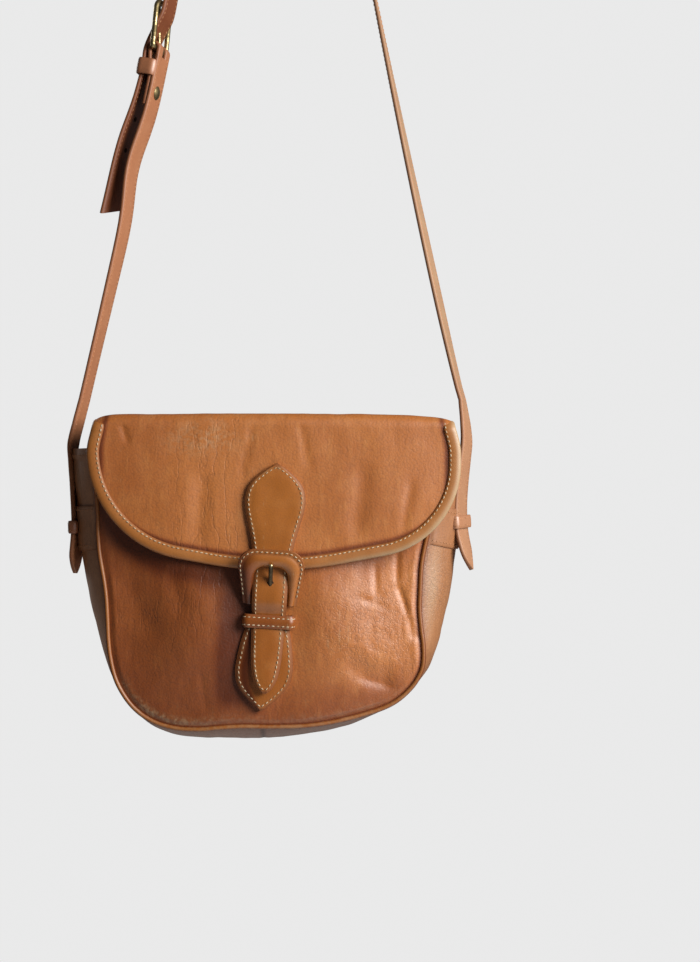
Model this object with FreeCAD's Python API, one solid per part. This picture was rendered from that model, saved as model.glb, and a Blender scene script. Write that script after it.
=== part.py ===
import FreeCAD, Part
import math
import os

Vector = FreeCAD.Vector

# All lengths are millimetres. The bag is drawn with the flap's top surface at height zero, its middle depth at
# zero and its front towards -Y, and every piece is moved at the end so that the hanging point is the origin.

# Whole bag
strap_drop = 577.0  # hanging point down to the flap's top
bag_depth = 75.0  # outer face of the front panel to outer face of the back panel
lean_share = 0.058  # sideways lean of the soft body for each unit of drop
seat_gap = 0.1  # between faces that are sewn or rest on each other
soft_gap = 0.3  # between pieces that flex or move past each other
pivot_gap = 0.08  # round a bar in its loop or eye
overrun = 5.0  # how far cutting shapes reach past what they cut

# Panels, gusset and piping
panel_wall = 2.2
gusset_wall = 2.0
mouth_drop = 20.0  # flap's top down to the front panel's top edge
mouth_half_width = 115.0
base_half_width = 92.0
base_drop = 203.0
base_rise = 4.0  # bottom corners above the middle of the bottom
base_corner_radius = 48.0
base_middle_radius = 300.0
gusset_top_drop = 22.0
side_bulge = 14.0  # gusset past the panels at the mouth
base_side_bulge = 24.0  # the same at the base
base_bulge = 4.0
gusset_depth_shares = (0, 0.12, 0.27, 0.57, 0.79, 1)
gusset_bulge_shares = (0, 0.56, 1, 1, 0.56, 0)
piping_radius = 2.0

# Strap ends, bands and side keepers on the gusset
strap_width = 20.0
strap_wall = 2.6
strap_line = -6.0  # strap's middle, a little in front of the bag's middle, over its centre of mass
strap_tip_drop = 100.0
strap_tip_length = 14.0
band_wall = 1.6
band_top_drop = 62.0
band_height = 26.0
side_keeper_wall = 1.3
side_keeper_drop = 69.0
side_keeper_height = 9.0

# Shoulder strap
shoulder_half_width = 126.0
shoulder_rise = 10.0
peg_radius = 12.0
left_twist = 14.0  # degrees, at the strap buckle
right_twist = 9.0
run_shares = (0.2, 0.4, 0.6, 0.8)
arc_steps = 8

# Strap buckle with its prong, keeper and rivet
strap_bar_rise = 244.0  # flap's top up to the buckle's bar
strap_wire_radius = 1.75
strap_frame_length = 31.0
strap_frame_corner = 6.0  # at the top limb
limb_gap = 0.9  # strap to the top limb, which it passes inside
strap_prong_radius = 1.2
strap_prong_wall = 1.4  # round the bar
strap_prong_width = 3.4
strap_prong_past = 3.0  # tip beyond the frame's top limb
prong_slot_gap = 0.8  # each side of a prong in its slot
hole_gap = 0.7  # round a prong in its hole
fold_length = 38.0
fold_wall = 1.8
fold_close_drop = 14.0  # bar down to where the folded end lies on the strap
rivet_drop = 28.0
rivet_shank_radius = 1.6
rivet_head_radius = 4.5
rivet_head_height = 1.5
strap_keeper_wall = 1.5
strap_keeper_drop = 10.0
strap_keeper_height = 11.0
tail_length = 105.0
tail_end_out = 11.0
tail_hole_drop = 48.0
tail_hole_pitch = 22.0
tail_hole_count = 2
cross_up_shares = (2.0, 1.3, 0.8, 0.5, 0, -0.35, -0.7)  # of the frame's length
cross_out_shares = (0, -0.12, -0.1, 0.36, 1, 0.92, 0.92)  # of the tail's distance from the bar

# Heights of the closure, each worked out from the one before
keeper_drop = 131.0  # flap's top down to the keeper
bar_over_keeper = 9.0
flap_over_bar = 16.5
bar_drop = keeper_drop - bar_over_keeper
flap_drop = bar_drop - flap_over_bar  # where the flap's two lower edges would meet

# Flap and its binding
flap_wall = 2.6
flap_half_width = 121.0
flap_corner_rise = 22.5
flap_corner_drop = flap_drop - flap_corner_rise
flap_corner_radius = 60.0
flap_middle_radius = 240.0
flap_front_gap = 2.0  # front panel to the flap's inner face
flap_fold_radius = 2.2
binding_width = 6.5
binding_wall = 0.9

# Closure strap sewn on the flap: a leaf above, a billet below
closure_shift = 4.5
leaf_wall = 3.0
leaf_tip_rise = 73.0  # above the flap's lower end
leaf_widest_rise = 50.5
leaf_neck_rise = 16.5
leaf_tip_drop = flap_drop - leaf_tip_rise
leaf_widest_drop = flap_drop - leaf_widest_rise
leaf_neck_drop = flap_drop - leaf_neck_rise
leaf_half_width = 19.5
leaf_neck_half_width = 13.0
leaf_round_shares = (0.72, 0.46)  # outward and downward, on the curve from the tip
leaf_waist_shares = (0.4, 0.52)
billet_half_width = 10.6
billet_start_rise = 19.0  # above the buckle's bar
billet_start_drop = bar_drop - billet_start_rise
billet_wall = 2.1
billet_bow = 1.5  # forward in the buckle's window
billet_bow_rise = 13.0
billet_bow_drop = bar_drop - billet_bow_rise
billet_taper_fall = 4.0  # below the buckle's bar
billet_taper_drop = bar_drop + billet_taper_fall
billet_end_drop = 160.0
billet_end_half_width = 9.1
billet_tip_drop = 182.0
billet_tip_shares = (0.29, 0.62)
binding_relief = 2.0  # room above the binding, under the leaf

# Keeper round the lower leaf and the billet
keeper_height = 9.0
keeper_back_wall = 1.2
keeper_wall = 1.5

# Lower leaf sewn on the front panel, which holds the buckle's bar
bar_radius = 1.2
chape_wall = 3.0
chape_loop_wall = 1.5
chape_loop_half_width = 10.0
chape_neck_fall = 6.0  # below the bar
chape_neck_drop = bar_drop + chape_neck_fall
chape_shoulder_gap = 1.0  # below the keeper
chape_shoulder_drop = keeper_drop + keeper_height + chape_shoulder_gap
chape_shoulder_half_width = 14.5
chape_widest_drop = 169.0
chape_half_width = 18.5
chape_tip_drop = 194.0
chape_shoulder_shares = (0.76, 0.5)
chape_tip_shares = (0.3, 0.52)

# Leather-covered front buckle and its prong
cover_tilt = 19.5  # degrees forward at the top
cover_wall = 4.4
cover_top = 34.0
cover_top_half_width = 23.4
cover_end_half_width = 17.2
cover_end_drop = 1.6
cover_corner_radius = 14.0
window_top = 23.0
window_half_width = 11.2
window_corner_radius = 5.0
cover_edge_radius = 1.4
core_radius = 1.1
core_corner_radius = 9.0
front_prong_radius = 1.4
front_prong_wall = 1.4
front_prong_width = 3.6
front_prong_past = 3.5  # tip beyond the window's top edge

lean_angle = math.degrees(math.atan(lean_share))
front_face = -bag_depth / 2
back_face = bag_depth / 2
across = bag_depth + strap_drop  # a length that spans the bag in any direction


def leaned(x, y, z):
    return Vector(x + lean_share * z, y, z)


def rounded_path(points, radii):
    edges = []
    start = points[0]
    for before, corner, after, radius in zip(points, points[1:], points[2:], radii):
        into = (corner - before).normalize()
        out = (after - corner).normalize()
        half_turn = into.getAngle(out) / 2
        reach = radius * math.tan(half_turn)
        inward = (out - into).normalize()
        first = corner - into * reach
        middle = corner + inward * (radius / math.cos(half_turn) - radius)
        last = corner + out * reach
        edges.append(Part.LineSegment(start, first).toShape())
        edges.append(Part.Arc(first, middle, last).toShape())
        start = last
    edges.append(Part.LineSegment(start, points[-1]).toShape())
    return edges


def closed_face(edges):
    first = edges[0].Vertexes[0].Point
    last = edges[-1].Vertexes[-1].Point
    return Part.Face(Part.Wire(edges + [Part.LineSegment(last, first).toShape()]))


def polygon_face(points):
    return Part.Face(Part.makePolygon(points + [points[0]]))


def mirrored_face(right_edges):
    left_edges = [edge.mirror(Vector(), Vector(1, 0, 0)) for edge in right_edges]
    return Part.Face(Part.Wire(Part.__sortEdges__(right_edges + left_edges)))


def slab(low_x, high_x, low_y, high_y, low_z, high_z):
    corner = Vector(low_x, low_y, low_z)
    return Part.makeBox(high_x - low_x, high_y - low_y, high_z - low_z, corner)


def tube(edges, radius):
    path = Part.Wire(edges)
    start = edges[0].Vertexes[0].Point
    along = edges[0].tangentAt(edges[0].FirstParameter)
    ring = Part.Wire(Part.Circle(start, along, radius).toShape())
    return path.makePipeShell([ring], True, True)


def rod(start, end, radius):
    along = end - start
    return Part.makeCylinder(radius, along.Length, start, along)


def between(start, end, share):
    return start + (end - start) * share


def curved_to(start, end, shares):
    out_share, down_share = shares
    middle = Vector(start.x + (end.x - start.x) * out_share, 0, start.z + (end.z - start.z) * down_share)
    return Part.Arc(start, middle, end).toShape()


def straight_to(start, end):
    return Part.LineSegment(start, end).toShape()


def save(name, shape):
    shape.translate(Vector(0, -strap_line, -strap_drop))
    shape.exportStep("parts/" + name + ".step")


# Shell of the bag


def shell_fall_share(z):
    return (-z - mouth_drop) / (base_drop - base_rise - mouth_drop)


def shell_half_width(z):
    return mouth_half_width + (base_half_width - mouth_half_width) * shell_fall_share(z)


def gusset_swell(z):
    return side_bulge + (base_side_bulge - side_bulge) * shell_fall_share(z)


def shell_path(top, y, swell_share, skin):
    base_out = base_bulge * swell_share + skin
    corner_z = -(base_drop - base_rise + base_out)
    corner_x = shell_half_width(corner_z) + gusset_swell(corner_z) * swell_share + skin
    top_x = shell_half_width(top) + gusset_swell(top) * swell_share + skin
    points = [leaned(-top_x, y, top), leaned(-corner_x, y, corner_z)]
    points.append(leaned(0, y, -base_drop - base_out))
    points += [leaned(corner_x, y, corner_z), leaned(top_x, y, top)]
    corner_radius = base_corner_radius + base_side_bulge * swell_share + skin
    return rounded_path(points, [corner_radius, base_middle_radius, corner_radius])


def panel(top, outer_y, inwards):
    outline = closed_face(shell_path(top, outer_y, 0, 0))
    return outline.extrude(Vector(0, inwards * panel_wall, 0))


def gusset_block(top, skin):
    sections = []
    for depth_share, bulge_share in zip(gusset_depth_shares, gusset_bulge_shares):
        y = front_face + panel_wall + (bag_depth - 2 * panel_wall) * depth_share
        sections.append(closed_face(shell_path(top, y, bulge_share, skin)).OuterWire)
    return Part.makeLoft(sections, True, True)


def side_space(side, low_z, high_z):
    low_x, high_x = (-across, 0) if side < 0 else (0, across)
    return slab(low_x, high_x, -across, across, low_z, high_z)


def gusset(side):
    outer = gusset_block(-gusset_top_drop, 0)
    inner = gusset_block(-gusset_top_drop + overrun, -gusset_wall)
    return outer.cut(inner).common(side_space(side, -across, across))


def piping(outer_y, inwards):
    out = piping_radius + seat_gap
    y = outer_y + inwards * panel_wall / 2
    return tube(shell_path(-mouth_drop, y, 0, out), piping_radius)


# Strap ends on the gusset


def gusset_band(side):
    outer = gusset_block(-gusset_top_drop, seat_gap + band_wall)
    inner = gusset_block(-gusset_top_drop + overrun, seat_gap)
    low_z = -band_top_drop - band_height
    reach = bag_depth / 2 - panel_wall / 2 - piping_radius - soft_gap
    between_pipings = slab(-across, across, -reach, reach, low_z, -band_top_drop)
    return outer.cut(inner).common(side_space(side, low_z, -band_top_drop)).common(between_pipings)


def strap_end_point(side, z, out):
    stack = gusset_swell(z) + band_wall + side_keeper_wall + 3 * seat_gap
    return leaned(side * (shell_half_width(z) + stack + out), strap_line - strap_width / 2, z)


def strap_end(side):
    top = -gusset_top_drop
    tip = -strap_tip_drop
    points = [strap_end_point(side, top, 0), strap_end_point(side, top, strap_wall)]
    points += [strap_end_point(side, tip, strap_wall), strap_end_point(side, tip, 0)]
    plate = polygon_face(points).extrude(Vector(0, strap_width, 0))
    near = strap_line - strap_width / 2
    far = strap_line + strap_width / 2
    shoulder = tip + strap_tip_length
    outline = [Vector(-across, near, top), Vector(-across, far, top), Vector(-across, far, shoulder)]
    outline += [Vector(-across, strap_line, tip), Vector(-across, near, shoulder)]
    return plate.common(polygon_face(outline).extrude(Vector(2 * across, 0, 0)))


def side_keeper(side):
    top = -side_keeper_drop
    low = top - side_keeper_height
    wall = side_keeper_wall
    inner_out = -seat_gap
    outer_out = strap_wall + seat_gap
    half = strap_width / 2 + seat_gap

    def ring_block(skin, past):
        points = []
        for z, out in ((top + past, inner_out - skin), (top + past, outer_out + skin)):
            points.append(strap_end_point(side, z, out))
        for z, out in ((low - past, outer_out + skin), (low - past, inner_out - skin)):
            points.append(strap_end_point(side, z, out))
        block = polygon_face(points).extrude(Vector(0, 2 * (half + skin), 0))
        block.translate(Vector(0, strap_width / 2 - half - skin, 0))
        return block

    return ring_block(wall, 0).cut(ring_block(0, overrun))


# Shoulder strap


def band_section(centre, along, twist):
    turned = Vector(math.sin(math.radians(twist)), math.cos(math.radians(twist)), 0)
    wide = (turned - along * turned.dot(along)).normalize()
    return section_wire(centre, wide, along.cross(wide))


def section_wire(centre, wide, inward):
    side = wide * (strap_width / 2)
    thick = inward * (strap_wall / 2)
    corners = [centre - side - thick, centre + side - thick, centre + side + thick, centre - side + thick]
    return Part.makePolygon(corners + [corners[0]])


def strap_anchor(side):
    point = strap_end_point(side, -gusset_top_drop, strap_wall / 2)
    return Vector(point.x, strap_line, point.z)


def strap_shoulder(side):
    return Vector(side * shoulder_half_width, strap_line, shoulder_rise)


peg_centre = Vector(0, strap_line, strap_drop - peg_radius)
arc_radius = peg_radius + strap_wall / 2
shoulder_reach = strap_shoulder(1) - peg_centre
arc_start = math.atan2(shoulder_reach.z, shoulder_reach.x) + math.acos(arc_radius / shoulder_reach.Length)


def arc_point(angle):
    return peg_centre + Vector(math.cos(angle), 0, math.sin(angle)) * arc_radius


# Local frame of the strap buckle: across the strap, outwards, and up along it, from its bar
left_top = arc_point(math.pi - arc_start)
left_shoulder = strap_shoulder(-1)
strap_up = (left_top - left_shoulder).normalize()
bar_share = (strap_bar_rise - shoulder_rise) / (left_top.z - shoulder_rise)
strap_bar = between(left_shoulder, left_top, bar_share)
left_turned = Vector(math.sin(math.radians(left_twist)), math.cos(math.radians(left_twist)), 0)
strap_across = (left_turned - strap_up * left_turned.dot(strap_up)).normalize()
strap_out = strap_up.cross(strap_across)
loop_radius = strap_wire_radius + pivot_gap
tail_out = loop_radius + strap_wall + soft_gap + strap_wall / 2


def on_strap(out, up):
    return strap_bar + strap_out * out + strap_up * up


def placed_on_strap(shape):
    a, b, c, d = strap_across, strap_out, strap_up, strap_bar
    matrix = FreeCAD.Matrix(a.x, b.x, c.x, d.x, a.y, b.y, c.y, d.y, a.z, b.z, c.z, d.z, 0, 0, 0, 1)
    shape.Placement = FreeCAD.Placement(matrix)
    return shape


def strap_local_prism(points):
    face = polygon_face([Vector(-strap_width / 2, out, up) for out, up in points])
    return face.extrude(Vector(strap_width, 0, 0))


def strap_prong_line():
    rest_out = strap_limb_out() + strap_wire_radius + soft_gap + strap_prong_radius
    reach_share = (strap_frame_length + strap_prong_past) / strap_frame_length
    return Vector(0, 0, 0), Vector(0, rest_out, strap_frame_length) * reach_share


def strap_limb_out():
    belt_out = cross_out_shares[2] * tail_out
    return belt_out + strap_wall / 2 + limb_gap + strap_wire_radius


def short_strap():
    main_out = -loop_radius - strap_wall / 2
    fold_start = on_strap(main_out, -fold_length)
    anchor = strap_anchor(-1)
    shoulder = strap_shoulder(-1) - strap_out * (loop_radius + strap_wall / 2)
    rise = (shoulder - anchor).normalize()
    sections = [band_section(anchor, Vector(0, 0, -1), 0), band_section(shoulder, rise * -1, 0)]
    for share in run_shares:
        point = between(shoulder, fold_start, share)
        sections.append(band_section(point, strap_up * -1, left_twist * share))
    sections.append(section_wire(fold_start, strap_across, strap_out * -1))
    run = Part.makeLoft(sections, True, True)
    near, far = -loop_radius - strap_wall, -loop_radius
    upright = strap_local_prism([(near, -fold_length), (far, -fold_length), (far, 0), (near, 0)])
    bottom, closing = -fold_length, -fold_close_drop
    back = far + seat_gap
    folded = [(back, bottom), (back + fold_wall, bottom), (back + fold_wall, closing)]
    folded += [(loop_radius + strap_wall, 0), (loop_radius, 0), (back, closing)]
    returned = strap_local_prism(folded)
    start = Vector(-strap_width / 2, 0, 0)
    along = Vector(1, 0, 0)
    loop = Part.makeCylinder(loop_radius + strap_wall, strap_width, start, along)
    loop = loop.cut(slab(-across, across, -across, across, -across, 0))
    bore = Part.makeCylinder(loop_radius, strap_width, start, along)
    slot_half = strap_prong_width / 2 + prong_slot_gap
    slot_low = -loop_radius - strap_prong_wall - prong_slot_gap
    slot = slab(-slot_half, slot_half, -across, across, slot_low, across)
    top = upright.fuse([returned, loop]).cut(bore).cut(slot).cut(rivet_hole())
    return run.fuse(placed_on_strap(top)).removeSplitter()


def rivet_hole():
    return rod(Vector(0, -across, -rivet_drop), Vector(0, across, -rivet_drop), rivet_shank_radius + seat_gap)


def strap_rivet():
    low = -loop_radius - strap_wall - seat_gap
    high = -loop_radius + seat_gap + fold_wall + seat_gap
    shank = rod(Vector(0, low, -rivet_drop), Vector(0, high, -rivet_drop), rivet_shank_radius)
    heads = []
    for seat, outwards in ((low, -1), (high, 1)):
        ball_radius = (rivet_head_radius**2 + rivet_head_height**2) / (2 * rivet_head_height)
        centre = Vector(0, seat + outwards * (rivet_head_height - ball_radius), -rivet_drop)
        edge = seat + outwards * across
        block = slab(-across, across, min(seat, edge), max(seat, edge), -across, across)
        heads.append(Part.makeSphere(ball_radius, centre).common(block))
    return placed_on_strap(shank.fuse(heads))


def long_strap_stations():
    anchor = strap_anchor(1)
    shoulder = strap_shoulder(1)
    right_top = arc_point(arc_start)
    rise = (right_top - shoulder).normalize()
    stations = [(anchor, Vector(0, 0, 1), 0), (shoulder, rise, 0)]
    for share in run_shares:
        twist = right_twist * math.sin(math.pi * share)
        stations.append((between(shoulder, right_top, share), rise, twist))
    for step in range(arc_steps + 1):
        angle = arc_start + (math.pi - 2 * arc_start) * step / arc_steps
        along = Vector(-math.sin(angle), 0, math.cos(angle))
        stations.append((arc_point(angle), along, 0))
    cross_top = on_strap(0, cross_up_shares[0] * strap_frame_length)
    for share in run_shares:
        stations.append((between(left_top, cross_top, share), strap_up * -1, left_twist * share))
    return stations


def long_strap():
    sections = [band_section(*station) for station in long_strap_stations()]
    crossing = []
    for up_share, out_share in zip(cross_up_shares, cross_out_shares):
        crossing.append(on_strap(out_share * tail_out, up_share * strap_frame_length))
    crossing.append(on_strap((crossing_end_out() + tail_end_out) / 2 + seat_gap, -tail_middle_drop()))
    crossing.append(on_strap(tail_end_out, -tail_length))
    for index, centre in enumerate(crossing):
        before = crossing[max(index - 1, 0)]
        after = crossing[min(index + 1, len(crossing) - 1)]
        along = (after - before).normalize()
        sections.append(section_wire(centre, strap_across, along.cross(strap_across)))
    belt = Part.makeLoft(sections, True, True)
    start, end = strap_prong_line()
    holes = [placed_on_strap(rod(start, end, strap_prong_radius + hole_gap))]
    for number in range(tail_hole_count):
        up = -tail_hole_drop - number * tail_hole_pitch
        hole = rod(Vector(0, 0, up), Vector(0, across, up), strap_prong_radius + hole_gap)
        holes.append(placed_on_strap(hole))
    return belt.cut(holes)


def crossing_end_out():
    return cross_out_shares[-1] * tail_out


def tail_middle_drop():
    return (tail_length - cross_up_shares[-1] * strap_frame_length) / 2


def strap_frame_edges():
    side = strap_width / 2 + soft_gap + strap_wire_radius
    limb_out = strap_limb_out()
    points = [Vector(0, 0, 0), Vector(side, 0, 0), Vector(side, limb_out, strap_frame_length)]
    points += [Vector(-side, limb_out, strap_frame_length), Vector(-side, 0, 0), Vector(0, 0, 0)]
    bar_corner = soft_gap + strap_wire_radius
    return rounded_path(points, [bar_corner, strap_frame_corner, strap_frame_corner, bar_corner])


def strap_buckle_frame():
    return placed_on_strap(tube(strap_frame_edges(), strap_wire_radius))


def prong(start, end, radius, eye_bore, eye_wall, eye_width):
    along = Vector(1, 0, 0)
    low = start - along * (eye_width / 2)
    arm = rod(start, end, radius).fuse(Part.makeSphere(radius, end))
    eye = Part.makeCylinder(eye_bore + eye_wall, eye_width, low, along)
    bore = Part.makeCylinder(eye_bore, eye_width, low, along)
    return arm.fuse(eye).cut(bore)


def strap_buckle_prong():
    start, end = strap_prong_line()
    shape = prong(start, end, strap_prong_radius, loop_radius, strap_prong_wall, strap_prong_width)
    return placed_on_strap(shape)


def strap_buckle_keeper():
    high = -strap_keeper_drop
    low = high - strap_keeper_height
    wall = strap_keeper_wall
    half = strap_width / 2 + soft_gap
    near = -loop_radius - strap_wall - soft_gap
    far = tail_out + strap_wall / 2 + soft_gap
    ring = slab(-half - wall, half + wall, near - wall, far + wall, low, high)
    return placed_on_strap(ring.cut(slab(-half, half, near, far, low - overrun, high + overrun)))


# Flap


flap_inner = front_face - flap_front_gap
flap_outer = flap_inner - flap_wall


def flap_middle_round(half_width, corner_radius):
    lower_edge = math.hypot(half_width, flap_corner_rise)
    half_turn = math.atan2(flap_corner_rise, half_width)
    corner_reach = corner_radius * math.tan((math.pi / 2 - half_turn) / 2)
    free_edge = lower_edge - corner_reach - seat_gap
    return min(flap_middle_radius, free_edge / math.tan(half_turn)), half_turn


def flap_outline(y, out):
    half = flap_half_width + out
    corner_z = -flap_corner_drop - out
    points = [Vector(-half, y, overrun), Vector(-half, y, corner_z), Vector(0, y, -flap_drop - out)]
    points += [Vector(half, y, corner_z), Vector(half, y, overrun)]
    corner_radius = flap_corner_radius + out
    middle_radius, _ = flap_middle_round(half, corner_radius)
    return closed_face(rounded_path(points, [corner_radius, middle_radius, corner_radius]))


def below_top(shape, top):
    return shape.common(slab(-across, across, -across, across, -across, top))


def flap_front():
    sheet = flap_outline(flap_outer, -seat_gap).extrude(Vector(0, flap_wall, 0))
    sheet = below_top(sheet, 0)
    top_edges = []
    for edge in sheet.Edges:
        box = edge.BoundBox
        if box.ZLength < seat_gap and box.ZMax > -seat_gap and box.YMax < flap_outer + seat_gap:
            top_edges.append(edge)
    return sheet.makeFillet(flap_fold_radius, top_edges)


def flap_top():
    half = flap_half_width - seat_gap
    return slab(-half, half, flap_inner, back_face, -flap_wall, 0)


def flap_binding():
    depth = flap_wall + 2 * (binding_wall + seat_gap)
    front = flap_outer - binding_wall - seat_gap
    rim = flap_outline(front, binding_wall).extrude(Vector(0, depth, 0))
    middle = flap_outline(front - overrun, -binding_width).extrude(Vector(0, depth + 2 * overrun, 0))
    room = flap_outline(flap_outer - seat_gap, 0).extrude(Vector(0, flap_wall + 2 * seat_gap, 0))
    return below_top(rim.cut(middle).cut(room), -flap_wall - binding_wall - seat_gap)


def flap_top_binding():
    strips = []
    outside = flap_half_width + binding_wall
    inside = flap_half_width - binding_width
    near = flap_inner + binding_wall + 2 * seat_gap
    far = back_face - panel_wall - soft_gap
    for side in (-1, 1):
        low_x, high_x = (-outside, -inside) if side < 0 else (inside, outside)
        low_z, high_z = -flap_wall - seat_gap, seat_gap
        strip = slab(low_x, high_x, near, far, low_z - binding_wall, high_z + binding_wall)
        half = flap_half_width
        strips.append(strip.cut(slab(-half, half, -across, across, low_z, high_z)))
    return Part.makeCompound(strips)


# Closure on the front


leaf_back = flap_outer - seat_gap
leaf_front = leaf_back - leaf_wall
billet_back = flap_outer - binding_wall - 2 * seat_gap
bar_y = front_face - 2 * seat_gap - bar_radius - pivot_gap - chape_loop_wall
chape_front = front_face - seat_gap - chape_wall


def leaning(shape):
    shape.translate(Vector(closure_shift, 0, 0))
    shape.rotate(Vector(closure_shift, 0, 0), Vector(0, 1, 0), lean_angle)
    return shape.copy()


def place(half_width, drop):
    return Vector(half_width, 0, -drop)


def billet_outline():
    tip = place(0, leaf_tip_drop)
    widest = place(leaf_half_width, leaf_widest_drop)
    neck = place(leaf_neck_half_width, leaf_neck_drop)
    start = place(billet_half_width, billet_start_drop)
    taper = place(billet_half_width, billet_taper_drop)
    end = place(billet_end_half_width, billet_end_drop)
    point = place(0, billet_tip_drop)
    edges = [curved_to(tip, widest, leaf_round_shares), curved_to(widest, neck, leaf_waist_shares)]
    edges += [straight_to(neck, start), straight_to(start, taper), straight_to(taper, end)]
    edges.append(curved_to(end, point, billet_tip_shares))
    return mirrored_face(edges)


def billet_profile():
    relief = -(leaf_edge_drop() - binding_width - binding_relief)
    low_back = chape_front - soft_gap
    bow_back = billet_back - billet_bow
    front_shift = -billet_wall
    back = [(leaf_back, 0), (leaf_back, relief), (billet_back, relief), (billet_back, -billet_start_drop)]
    back += [(bow_back, -billet_bow_drop), (bow_back, -bar_drop), (low_back, -keeper_drop)]
    back.append((low_back, -billet_tip_drop - overrun))
    front = [(y + front_shift, z) for y, z in reversed(back[3:])]
    front += [(leaf_front, relief), (leaf_front, 0)]
    return polygon_face([Vector(-across, y, z) for y, z in back + front])


def leaf_edge_drop():
    return flap_drop - flap_middle_sag()


def flap_middle_sag():
    middle_radius, half_turn = flap_middle_round(flap_half_width, flap_corner_radius)
    return middle_radius * (1 / math.cos(half_turn) - 1)


def closure_billet():
    thick = billet_profile().extrude(Vector(2 * across, 0, 0))
    sheet = billet_outline()
    sheet.translate(Vector(0, -across, 0))
    strap = sheet.extrude(Vector(0, 2 * across, 0)).common(thick)
    start, end = front_prong_line()
    hole = placed_on_front(rod(start, end, front_prong_radius + hole_gap))
    return leaning(strap.cut(hole))


def chape_outline():
    top = place(chape_loop_half_width, bar_drop)
    neck = place(chape_loop_half_width, chape_neck_drop)
    shoulder = place(chape_shoulder_half_width, chape_shoulder_drop)
    widest = place(chape_half_width, chape_widest_drop)
    tip = place(0, chape_tip_drop)
    edges = [straight_to(place(0, bar_drop), top), straight_to(top, neck), straight_to(neck, shoulder)]
    edges.append(curved_to(shoulder, widest, chape_shoulder_shares))
    edges.append(curved_to(widest, tip, chape_tip_shares))
    return mirrored_face(edges)


def buckle_chape():
    sheet = chape_outline()
    sheet.translate(Vector(0, chape_front, 0))
    leaf = sheet.extrude(Vector(0, chape_wall, 0))
    along = Vector(1, 0, 0)
    start = Vector(-chape_loop_half_width, bar_y, -bar_drop)
    bore_radius = bar_radius + pivot_gap
    loop = Part.makeCylinder(bore_radius + chape_loop_wall, 2 * chape_loop_half_width, start, along)
    bore = Part.makeCylinder(bore_radius, 2 * chape_loop_half_width, start, along)
    slot_half = front_prong_width / 2 + prong_slot_gap
    slot_low = -bar_drop - bore_radius - front_prong_wall - prong_slot_gap
    slot = slab(-slot_half, slot_half, -across, front_face, slot_low, across)
    high = -keeper_drop + seat_gap
    low = -keeper_drop - keeper_height - seat_gap
    groove_front = front_face - 2 * seat_gap - keeper_back_wall - seat_gap
    groove = slab(-across, across, groove_front, front_face, low, high)
    return leaning(leaf.fuse(loop).cut(bore).cut(slot).cut(groove).removeSplitter())


def closure_keeper():
    back = front_face - 2 * seat_gap
    inner_back = back - keeper_back_wall
    inner_front = chape_front - soft_gap - billet_wall - soft_gap
    half = chape_shoulder_half_width + soft_gap
    low = -keeper_drop - keeper_height
    ring = slab(-half - keeper_wall, half + keeper_wall, inner_front - keeper_wall, back, low, -keeper_drop)
    hollow = slab(-half, half, inner_front, inner_back, low - overrun, -keeper_drop + overrun)
    return leaning(ring.cut(hollow))


def placed_on_front(shape):
    rotation = FreeCAD.Rotation(Vector(1, 0, 0), cover_tilt)
    shape.Placement = FreeCAD.Placement(Vector(0, bar_y, -bar_drop), rotation)
    return shape


def core_edges():
    end = (window_half_width + cover_end_half_width) / 2
    shoulder = (window_half_width + cover_top_half_width) / 2
    top = (window_top + cover_top) / 2
    points = [Vector(-end, 0, 0), Vector(-shoulder, 0, top), Vector(shoulder, 0, top), Vector(end, 0, 0)]
    return rounded_path(points, [core_corner_radius] * 2)


def buckle_core(skin):
    end = (window_half_width + cover_end_half_width) / 2
    bar = rod(Vector(-end, 0, 0), Vector(end, 0, 0), bar_radius + skin)
    return tube(core_edges(), core_radius + skin).fuse(bar)


def front_buckle_core():
    return leaning(placed_on_front(buckle_core(0)))


def front_buckle_cover():
    y = -cover_wall / 2
    end_z = -cover_end_drop
    outer = [Vector(-cover_end_half_width, y, end_z), Vector(-cover_top_half_width, y, cover_top)]
    outer += [Vector(cover_top_half_width, y, cover_top), Vector(cover_end_half_width, y, end_z)]
    solid = closed_face(rounded_path(outer, [cover_corner_radius] * 2)).extrude(Vector(0, cover_wall, 0))
    low_z = end_z - overrun
    inner = [Vector(-window_half_width, y, low_z), Vector(-window_half_width, y, window_top)]
    inner += [Vector(window_half_width, y, window_top), Vector(window_half_width, y, low_z)]
    window = closed_face(rounded_path(inner, [window_corner_radius] * 2)).extrude(Vector(0, cover_wall, 0))
    shoe = solid.cut(window)
    face_edges = [edge for edge in shoe.Edges if edge.BoundBox.YLength < seat_gap]
    shoe = shoe.makeFillet(cover_edge_radius, face_edges)
    return leaning(placed_on_front(shoe.cut(buckle_core(seat_gap))))


def front_prong_line():
    rest_y = -cover_wall / 2 - soft_gap - front_prong_radius
    reach_share = (window_top + front_prong_past) / window_top
    return Vector(0, 0, 0), Vector(0, rest_y, window_top) * reach_share


def front_buckle_prong():
    start, end = front_prong_line()
    eye_bore = bar_radius + pivot_gap
    shape = prong(start, end, front_prong_radius, eye_bore, front_prong_wall, front_prong_width)
    return leaning(placed_on_front(shape))


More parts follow.
